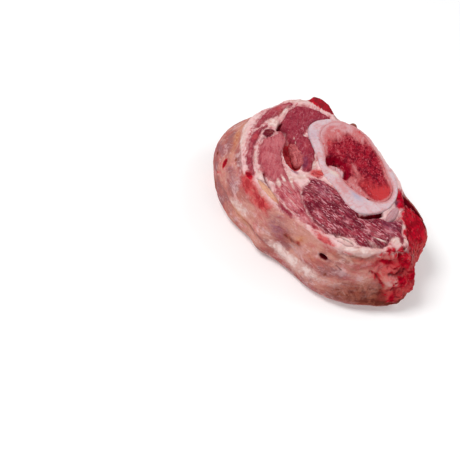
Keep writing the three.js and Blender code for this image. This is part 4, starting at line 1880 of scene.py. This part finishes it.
@dataclass(frozen=True)
class Strewing:
    """Small grains strewn over a piece; sizes are half sizes in millimetres."""

    name: str
    weight: str
    way: str
    spacing: float
    density: float
    smallest: Triple
    largest: Triple
    rough: float
    seed: int

    def build(self, under: bpy.types.Object, finish: bpy.types.Material) -> bpy.types.Object:
        """Strew the grains and turn them into a plain mesh.

        Args:
            under: The piece that they lie on.
            finish: Their material.

        Returns:
            The grains' object.
        """
        graph = StrewGraph(f"strew_{self.name}")
        graph.build(self.weight, self.way, finish)
        carrier = link(f"{self.name}_carrier", under.data)
        modifier = carrier.modifiers.new("strew", "NODES")
        modifier.node_group = graph.group
        values = {
            "Spacing": self.spacing * MM,
            "Density": self.density / MM**2,
            "Seed": self.seed,
            "Smallest": tuple(size * MM for size in self.smallest),
            "Largest": tuple(size * MM for size in self.largest),
            "Rough": self.rough * MM,
        }
        for socket in graph.group.interface.items_tree:
            if socket.name in values:
                modifier[socket.identifier] = values[socket.name]
        ready = carrier.evaluated_get(bpy.context.evaluated_depsgraph_get())
        mesh = bpy.data.meshes.new_from_object(ready)
        mesh.name = self.name
        bpy.data.objects.remove(carrier)
        return link(self.name, mesh)


STREWINGS = (
    (
        "meat",
        # the palest grains also stand for glints on the coarse muscle: partly painted highlight
        Strewing("fibre_bundles", "bundles", "fibre", spacing=1.4, density=0.34,
                 smallest=(0.4, 0.16, 0.1), largest=(1.6, 0.36, 0.2), rough=0.5, seed=7),
        GrainFinish("fibre_pink_and_glint", colour(150, 44, 60), colour(222, 156, 166), coat=0.8),
    ),
    (
        "meat",
        Strewing("blood_beads", "beads", "fibre", spacing=1.5, density=0.16,
                 smallest=(0.5, 0.3, 0.1), largest=(2.0, 0.8, 0.26), rough=1.0, seed=11),
        GrainFinish("blood_bead", colour(136, 0, 18), colour(198, 6, 34), rough=0.35, coat=0.5),
    ),
    (
        "bone_core",
        Strewing("marrow_struts", "porous", "fibre", spacing=1.2, density=0.4,
                 smallest=(0.3, 0.14, 0.1), largest=(1.1, 0.26, 0.2), rough=0.7, seed=19),
        GrainFinish("lattice_red", colour(146, 8, 32), colour(214, 92, 104), coat=0.6),
    ),
)


# ------------------------------------------------------------------ bone and small tissues


BONE_MARKS = make_marks({
    Tint.BLUE: ((-25, 14, 4, 5, 0, 0.4), (17.5, 2, 4.4, 2.2, -12, 1.1)),
    Tint.BLUSH: (
        (-12, 39.2, 5, 1.6, -20, 1), (-22, 36, 8, 3, 25, 0.6), (17, 33, 5, 1.2, -38, 0.8),
        (2, 37.5, 6, 1.4, -15, 0.5), (8, 0.5, 6, 2.6, -10, 0.9), (-14, 7.5, 5, 1.6, -36, 0.7),
        (13, -0.5, 5, 1.6, 0, 0.6),
    ),
    Tint.CREAM: ((0.8, 4.4, 4.2, 2.6, 6, 0.9),),
    Tint.RED: ((-12.2, 39.6, 2, 1, -20, 0.9), (-19.6, 13.4, 1.8, 0.7, 45, 0.4)),
    Tint.DARK: ((-20.2, 14.4, 1.5, 0.7, 35, 0.5), (22.1, 5.1, 0.7, 0.6, 0, 1.4)),
}, edge=1.0)


@dataclass
class NeckBone(Piece):
    """The white outer bone: a ring with a raised, rounded sawn edge."""

    name: str = "neck_bone_ring"
    top: float = TOP + 1.3
    edge: float = 0.9
    seat: float = -0.05
    pitch: float = 0.5
    lower_pitch: float = 1.2
    outer_points: int = 300
    inner_points: int = 260
    levels: tuple[float, ...] = (0.0, 12.0, 24.0, 32.0)
    round_steps: tuple[float, ...] = (0.0, 0.35, 0.7, 1.0)
    sunk_at: Pair = (-6.0, 2.0)
    sunk_half: Pair = (14.0, 7.0)
    sunk_depth: float = 0.9

    def shape(self) -> Shape:
        """Shape the bone and paint its traits.

        Returns:
            Its points, triangles and traits.
        """
        shell = Shell()
        outer = shell.rings(BONE, self.outer_points, self.levels)
        inner = shell.rings(CORE, self.inner_points, self.levels, self.seat)
        for step in self.round_steps:
            turn = math.pi / 2 * step
            level = self.top - self.edge * (1 - math.sin(turn))
            inset = self.edge * (1 - math.cos(turn))
            outer.append(shell.add(BONE.loop(self.outer_points, level, -inset)))
            inner.append(shell.add(CORE.loop(self.inner_points, level, inset * 0.4 + self.seat)))
        shell.wall(outer)
        shell.wall(inner, inward=True)
        shell.cap(outer[-1], [inner[-1]], self.pitch, up=True)
        shell.cap(outer[0], [inner[0]], self.lower_pitch, up=False)
        points = shell.points
        flat = points[:, :2].copy()
        upper = smooth_step(TOP - 1.5, TOP + 0.2, points[:, 2])
        core_gap = -depth_inside(flat, CORE.outline(CORE_CORNERS))
        relief = 0.4 * NOISE.layers(points / 4.0 + 2, 3) + 0.1 * NOISE.layers(points / 0.9, 2)
        relief = relief - self.sunk_depth * np.exp(-oval_reach(flat, self.sunk_at, self.sunk_half))
        points[:, 2] += (relief - 0.35 * bell(core_gap / 1.2)) * upper
        traits = {"blush": 1.1 * bell(core_gap / 1.5)}
        lay_marks(traits, BONE_MARKS, flat)
        return points, shell.faces, traits


CORE_MARKS = make_marks({
    Tint.PINK: (
        (-24, 28, 7, 11, 20, 1.5), (-15, 35.2, 8, 2.8, -14, 1.2), (-3, 37.2, 14, 1.4, -6, 1.1),
        (13, 29, 9, 2.6, -40, 1), (20, 24.6, 5, 1.6, -40, 0.8), (-18, 15.2, 6, 1.6, -32, 0.8),
        (9, 13, 6, 3.4, -28, 0.4), (27.6, 11, 1.8, 8, 0, 0.9), (16, 6.2, 9, 1.9, -3, 1.1),
        (3.4, 15.6, 6, 1.3, -28, 0.55), (8.4, 8.6, 3, 2.4, -40, 0.6), (-9.4, 17, 3, 1, -20, 0.4),
    ),
    Tint.WHITE: (
        (-26.5, 31, 2.6, 5, 24, 0.55), (-18.5, 33.5, 2.6, 4.6, -14, 0.75),
        (-23, 21.5, 2, 4, 35, 0.4),
        (0, 37.6, 14, 1, -8, 0.6), (12.5, 30.6, 7, 1.8, -40, 1.5), (20.5, 25.4, 5, 1.2, -46, 1.2),
        # (0.6, 12.4) is a painted highlight on the groove's rim
        (12, 5.6, 7, 1.4, -4, 0.5), (0.8, 6.2, 3.8, 2, 0, 1.6), (0.6, 12.4, 1.8, 0.5, -36, 1.2),
    ),
    Tint.ORANGE: (
        (-17.5, 18, 4.4, 3, -36, 0.75), (23.5, 15.5, 5, 9, 16, 1.05), (14, 12, 8, 5.6, -20, 0.65),
    ),
}, edge=1.0)


@dataclass
class SpongyCore(Piece):
    """The red spongy bone, pitted, with the marrow hole and its groove."""

    name: str = "spongy_bone"
    top: float = TOP + 0.8
    pitch: float = 0.42
    lower_pitch: float = 1.2
    edge_points: int = 300
    grain: float = -48.0
    pore: Pair = (1.7, 0.95)
    hole: Pair = (-5.8, 10.2)
    hole_half: Pair = (4.2, 5.4)
    hole_depth: float = 5.5
    hole_floor: Pair = (-3.6, 10.4)
    hole_floor_radius: float = 3.4
    groove: Crease = Crease(((-2.6, 14.0), (1.6, 12.6), (4.4, 9.6), (5.8, 6.4)), 3.0, 1.2)

    def shape(self) -> Shape:
        """Shape the spongy bone and paint its traits.

        Returns:
            Its points, triangles and traits.
        """
        shell = Shell()
        rings = shell.rings(CORE, self.edge_points, (*CHANNEL_LEVELS, self.top))
        shell.close(rings, self.pitch, self.lower_pitch)
        points = shell.points
        flat = points[:, :2].copy()
        upper = smooth_step(TOP - 1.0, TOP + 0.5, points[:, 2])
        way = turned(flat, self.grain)
        pores = NOISE.layers(np.column_stack([way / self.pore, np.zeros(len(points))]), 3, 0.6)
        traits: dict[str, np.ndarray] = {}
        lay_marks(traits, CORE_MARKS, flat)
        smooth = np.maximum(traits["pink"], 0.6 * traits["orange"]).clip(0, 1)
        pit = (-pores - 0.05).clip(0)
        relief = 0.3 * pores * (1 - 0.6 * smooth) - 1.3 * pit * (1 - 0.75 * smooth)
        inward = depth_inside(flat, CORE.outline(CORE_CORNERS))
        relief = relief + 0.4 * bell(inward / 1.6)
        traits["pink"] = traits["pink"] + 0.8 * bell(inward)
        pale = bell(inward / 1.6) * smooth_step(16, 22, -flat[:, 0])
        traits["white"] = traits["white"] + 0.7 * pale
        local = (flat - np.asarray(self.hole)) / np.asarray(self.hole_half)
        wobble = [NOISE.at(points / 2.2 + shift) for shift in (0, 7)]
        reach = ((local + 0.14 * np.stack(wobble, axis=1)) ** 2).sum(axis=1)
        bore = (1 - reach).clip(0) ** 0.4
        furrow = self.groove.share(flat)
        relief = relief - self.hole_depth * bore - self.groove.depth * furrow
        floor = np.hypot(*(flat - np.asarray(self.hole_floor)).T) / self.hole_floor_radius
        # painted shade in the marrow hole and groove, darker with depth and darkest on the hole's
        # floor
        traits["dark"] = smooth_step(0.0, 0.7, bore) * 0.75 + 0.8 * furrow
        traits["dark"] = traits["dark"] + 0.8 * bell(floor) * (bore > 0)
        points[:, 2] += relief * upper
        traits["grain"] = np.column_stack([way, points[:, 2]])
        turn = math.radians(self.grain)
        traits["fibre"] = np.tile((math.cos(turn), math.sin(turn), 0.0), (len(points), 1))
        clusters = smooth_step(-0.3, 0.3, NOISE.layers(points / 3.5 + 29, 2))
        traits["porous"] = (1 - smooth) * upper * (1 - traits["dark"].clip(0, 1)) * clusters
        return points, shell.faces, traits


@dataclass
class TissueColumn(Piece):
    """A small upright piece with a domed top, such as the ligament or the cartilage."""

    column: Column
    bottom: float
    top: float
    dome: float
    levels: int = 5
    pitch: float = 0.35
    lower_pitch: float = 0.8
    count: int = 120
    ripple: float = 0.06

    def shape(self) -> Shape:
        """Shape the small piece and paint its traits.

        Returns:
            Its points, triangles and traits.
        """
        shell = Shell()
        shoulder = self.top - self.dome
        levels = np.linspace(self.bottom, shoulder, self.levels)
        rings = shell.rings(self.column, self.count, levels)
        shell.close(rings, self.pitch, self.lower_pitch)
        points = shell.points
        flat = points[:, :2].copy()
        inward = depth_inside(flat, self.column.outline(self.count, self.top)).clip(0)
        upper = smooth_step(shoulder - 1.0, shoulder, points[:, 2])
        way = turned(flat - np.asarray(self.column.centre), self.column.turn)
        threads = NOISE.layers(np.column_stack([way, points[:, 2]]) / (4.0, 0.8, 4.0), 3)
        dome = self.dome * np.sqrt(1 - (1 - (inward / min(self.column.half)).clip(0, 1)) ** 2)
        points[:, 2] += (dome + self.ripple * threads * (inward > 0.05)) * upper
        grain = np.column_stack([way, points[:, 2]])
        return points, shell.faces, {"grain": grain, "red": np.zeros(len(points))}


@dataclass
class Vessel(Piece):
    """The pink finger-like vessel in the hollow."""

    name: str = "vessel_tongue"
    start: Triple = (-27.0, 3.6, 31.4)
    end: Triple = (-11.8, -5.0, 31.2)
    thin: float = 2.4
    thick: float = 4.0
    bluntness: int = 6
    steps: int = 90
    around: int = 56
    grain_length: float = 20.0
    shadow: Pair = (29.6, 31.8)  # heights where the painted shade on its lower side starts and ends

    def shape(self) -> Shape:
        """Shape the vessel and paint its traits.

        Returns:
            Its points, triangles and traits.
        """
        start, end = np.array(self.start), np.array(self.end)
        along = (end - start) / np.linalg.norm(end - start)
        side = np.array([-along[1], along[0], 0.0])
        side /= np.linalg.norm(side)
        up = np.cross(along, side)
        shell = Shell()
        angle = directions(self.around)
        circle = np.cos(angle)[:, None] * side + np.sin(angle)[:, None] * up
        share = (1 - np.cos(np.pi * np.arange(self.steps + 1) / self.steps)) / 2
        rings, ways = [], []
        for part in share[1:-1]:
            ends = math.sqrt(max(0.0, 1 - (2 * part - 1) ** self.bluntness))
            radius = ends * (self.thin + (self.thick - self.thin) * part)
            rings.append(shell.add(start + (end - start) * part + radius * circle))
            length = np.full(len(angle), part * self.grain_length)
            ways.append(np.column_stack([length, angle * radius, angle * 0]))
        shell.wall(rings, inward=True)
        for tip, ring in ((start, rings[0][::-1]), (end, rings[-1])):
            shell.strip(np.full(len(ring), shell.add(tip[None])[0]), ring)
        points, faces = shell.points, shell.faces
        faces = faces[(faces != np.roll(faces, 1, axis=1)).all(axis=1)]
        grain = np.concatenate([*ways, np.zeros((2, 3))])
        offset = points - (start + np.outer((points - start) @ along, along))
        length = np.linalg.norm(offset, axis=1, keepdims=True).clip(1e-6)
        push = 1.2 * NOISE.layers(points / 2.8, 3) + 0.3 * NOISE.layers(grain / (2.0, 1.0, 1.0), 2)
        points = points + offset / length * push[:, None]
        # the lower side is painted darker red: painted shade under the vessel
        traits = {"grain": grain, "red": 1 - smooth_step(*self.shadow, points[:, 2])}
        return points, faces, traits


# ------------------------------------------------------------------ camera, light, floor


def sight(azimuth: float, elevation: float) -> Vector:
    """Point from the slice to a viewer or a light.

    Args:
        azimuth: How far round it stands, in degrees from -Y towards +X.
        elevation: How high it stands, in degrees.

    Returns:
        The direction, one long.
    """
    turn, tilt = math.radians(azimuth), math.radians(elevation)
    return Vector(
        (math.sin(turn) * math.cos(tilt), -math.cos(turn) * math.cos(tilt), math.sin(tilt))
    )


@dataclass(frozen=True)
class Lamp:
    """A soft square light that looks at the slice; reach and size are in metres."""

    name: str
    azimuth: float
    elevation: float
    reach: float
    size: float
    power: float

    def hang(self) -> None:
        """Put the light into the scene."""
        way = sight(self.azimuth, self.elevation)
        data = bpy.data.lights.new(self.name, "AREA")
        data.size = self.size
        data.energy = self.power
        light = link(self.name, data)
        light.location = way * self.reach
        light.rotation_euler = way.to_track_quat("Z", "Y").to_euler()


@dataclass(frozen=True)
class Studio:
    """The photograph's view of the slice, with a plain floor and soft light."""

    placing: Placing
    azimuth: float = 36.0
    elevation: float = 42.0
    roll: float = 17.0
    distance: float = 666.0
    pixels_per_mm: float = 2.125
    picture: float = 460.0
    face_middle_px: Pair = (327.0, 176.0)
    sensor: float = 36.0
    clip: float = 0.01
    surround: float = 0.42
    floor_half: float = 3.0
    floor_glow: float = 0.12
    floor_shades: tuple[Colour, Colour] = (colour(244, 244, 244), colour(240, 240, 240))
    lamps: tuple[Lamp, ...] = (
        Lamp("key", azimuth=-30, elevation=58, reach=1.1, size=0.45, power=7.5),
        Lamp("back", azimuth=150, elevation=45, reach=1.2, size=0.7, power=3.0),
        Lamp("fill", azimuth=60, elevation=35, reach=1.3, size=0.9, power=1.6),
    )

    def camera(self) -> None:
        """Set up the camera at the photograph's viewing angle."""
        turn, roll = math.radians(self.azimuth), math.radians(self.roll)
        back = sight(self.azimuth, self.elevation)
        level = Vector((math.cos(turn), math.sin(turn), 0.0))
        rise = back.cross(level)
        right = level * math.cos(roll) + rise * math.sin(roll)
        up = rise * math.cos(roll) - level * math.sin(roll)
        across, below = ((px - self.picture / 2) / self.pixels_per_mm for px in self.face_middle_px)
        target = self.placing.point(0, 0, TOP)
        place = target - (right * across - up * below - back * self.distance) * MM
        data = bpy.data.cameras.new("camera")
        data.sensor_width = self.sensor
        data.lens = self.distance * self.pixels_per_mm / self.picture * self.sensor
        data.clip_start = self.clip
        camera = link("camera", data)
        turned_to = Matrix((right, up, back)).transposed().to_4x4()
        camera.matrix_world = Matrix.Translation(place) @ turned_to
        bpy.context.scene.camera = camera

    def lights(self) -> None:
        """Hang the soft lights and set the pale surround."""
        for lamp in self.lamps:
            lamp.hang()
        world = bpy.data.worlds.new("surround")
        world.use_nodes = True
        ground = world.node_tree.nodes["Background"].inputs
        ground["Color"].default_value = (1.0, 1.0, 1.0, 1.0)
        ground["Strength"].default_value = self.surround
        bpy.context.scene.world = world
        bpy.context.scene.view_settings.view_transform = "Standard"

    def floor(self) -> None:
        """Lay the plain pale floor."""
        tree = FinishTree("floor_white")
        matt = {
            "Base Color": tree.mix(tree.noise(60.0), *self.floor_shades),
            "Roughness": 0.9,
            "Specular IOR Level": 0.1,
            "Emission Color": (1.0, 1.0, 1.0, 1.0),
            "Emission Strength": self.floor_glow,
        }
        tree.end("ShaderNodeOutputMaterial", tree.node("ShaderNodeBsdfPrincipled", {}, matt))
        half = self.floor_half
        corners = [(-half, -half, 0), (half, -half, 0), (half, half, 0), (-half, half, 0)]
        mesh = bpy.data.meshes.new("floor")
        mesh.from_pydata(corners, [], [(0, 1, 2, 3)])
        mesh.materials.append(tree.material)
        floor = link("floor", mesh)


# ------------------------------------------------------------------ all together


def report(piece: bpy.types.Object, node: str, stands: bool = True) -> None:
    """Ride a piece on the slice and log it.

    Args:
        piece: The piece.
        node: The model's part that it belongs to.
        stands: Whether it takes that part's place.
    """
    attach(piece, "root")
    if stands:
        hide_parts(node)
    LOG.info("%s belongs to %s: %d faces", piece.name, node, len(piece.data.polygons))


def main() -> None:
    """Build the slice, its camera and its light."""
    logging.basicConfig(level=logging.INFO, format="%(name)s: %(message)s")
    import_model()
    low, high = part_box("cartilage")
    middle = [(start + end) / 2 / MM for start, end in zip(low, high)]
    placing = Placing((middle[0] - CARTILAGE.centre[0], middle[1] - CARTILAGE.centre[1]))

    pieces = {
        "meat": (Meat(placing), MeatFinish()),
        "bone": (NeckBone(placing), BoneFinish()),
        "bone_core": (SpongyCore(placing), CoreFinish()),
        "ligament": (
            TissueColumn(placing, "neck_ligament", LIGAMENT, 0.0, TOP - 0.3, 0.7),
            TissueFinish("yellow_ligament", colour(217, 166, 139), colour(194, 126, 106)),
        ),
        "cartilage": (
            TissueColumn(placing, "cartilage_tongue", CARTILAGE, TOP - 9.0, TOP + 0.9, 1.3),
            TissueFinish("pearly_cartilage", colour(193, 149, 154), colour(176, 122, 128)),
        ),
        "vessel": (
            Vessel(placing),
            # the last colour is painted shade on the vessel's lower side
            TissueFinish("vessel_pink", colour(198, 108, 110), colour(142, 38, 48), rough=0.3,
                         painted_shade=colour(112, 4, 18)),
        ),
    }
    made = {}
    for node, (piece, finish) in pieces.items():
        made[node] = piece.build(finish.build())
        report(made[node], node)
    for node, strewing, finish in STREWINGS:
        report(strewing.build(made[node], finish.build()), node, stands=False)

    studio = Studio(placing)
    studio.camera()
    studio.lights()
    studio.floor()


if __name__ == "__main__":
    main()
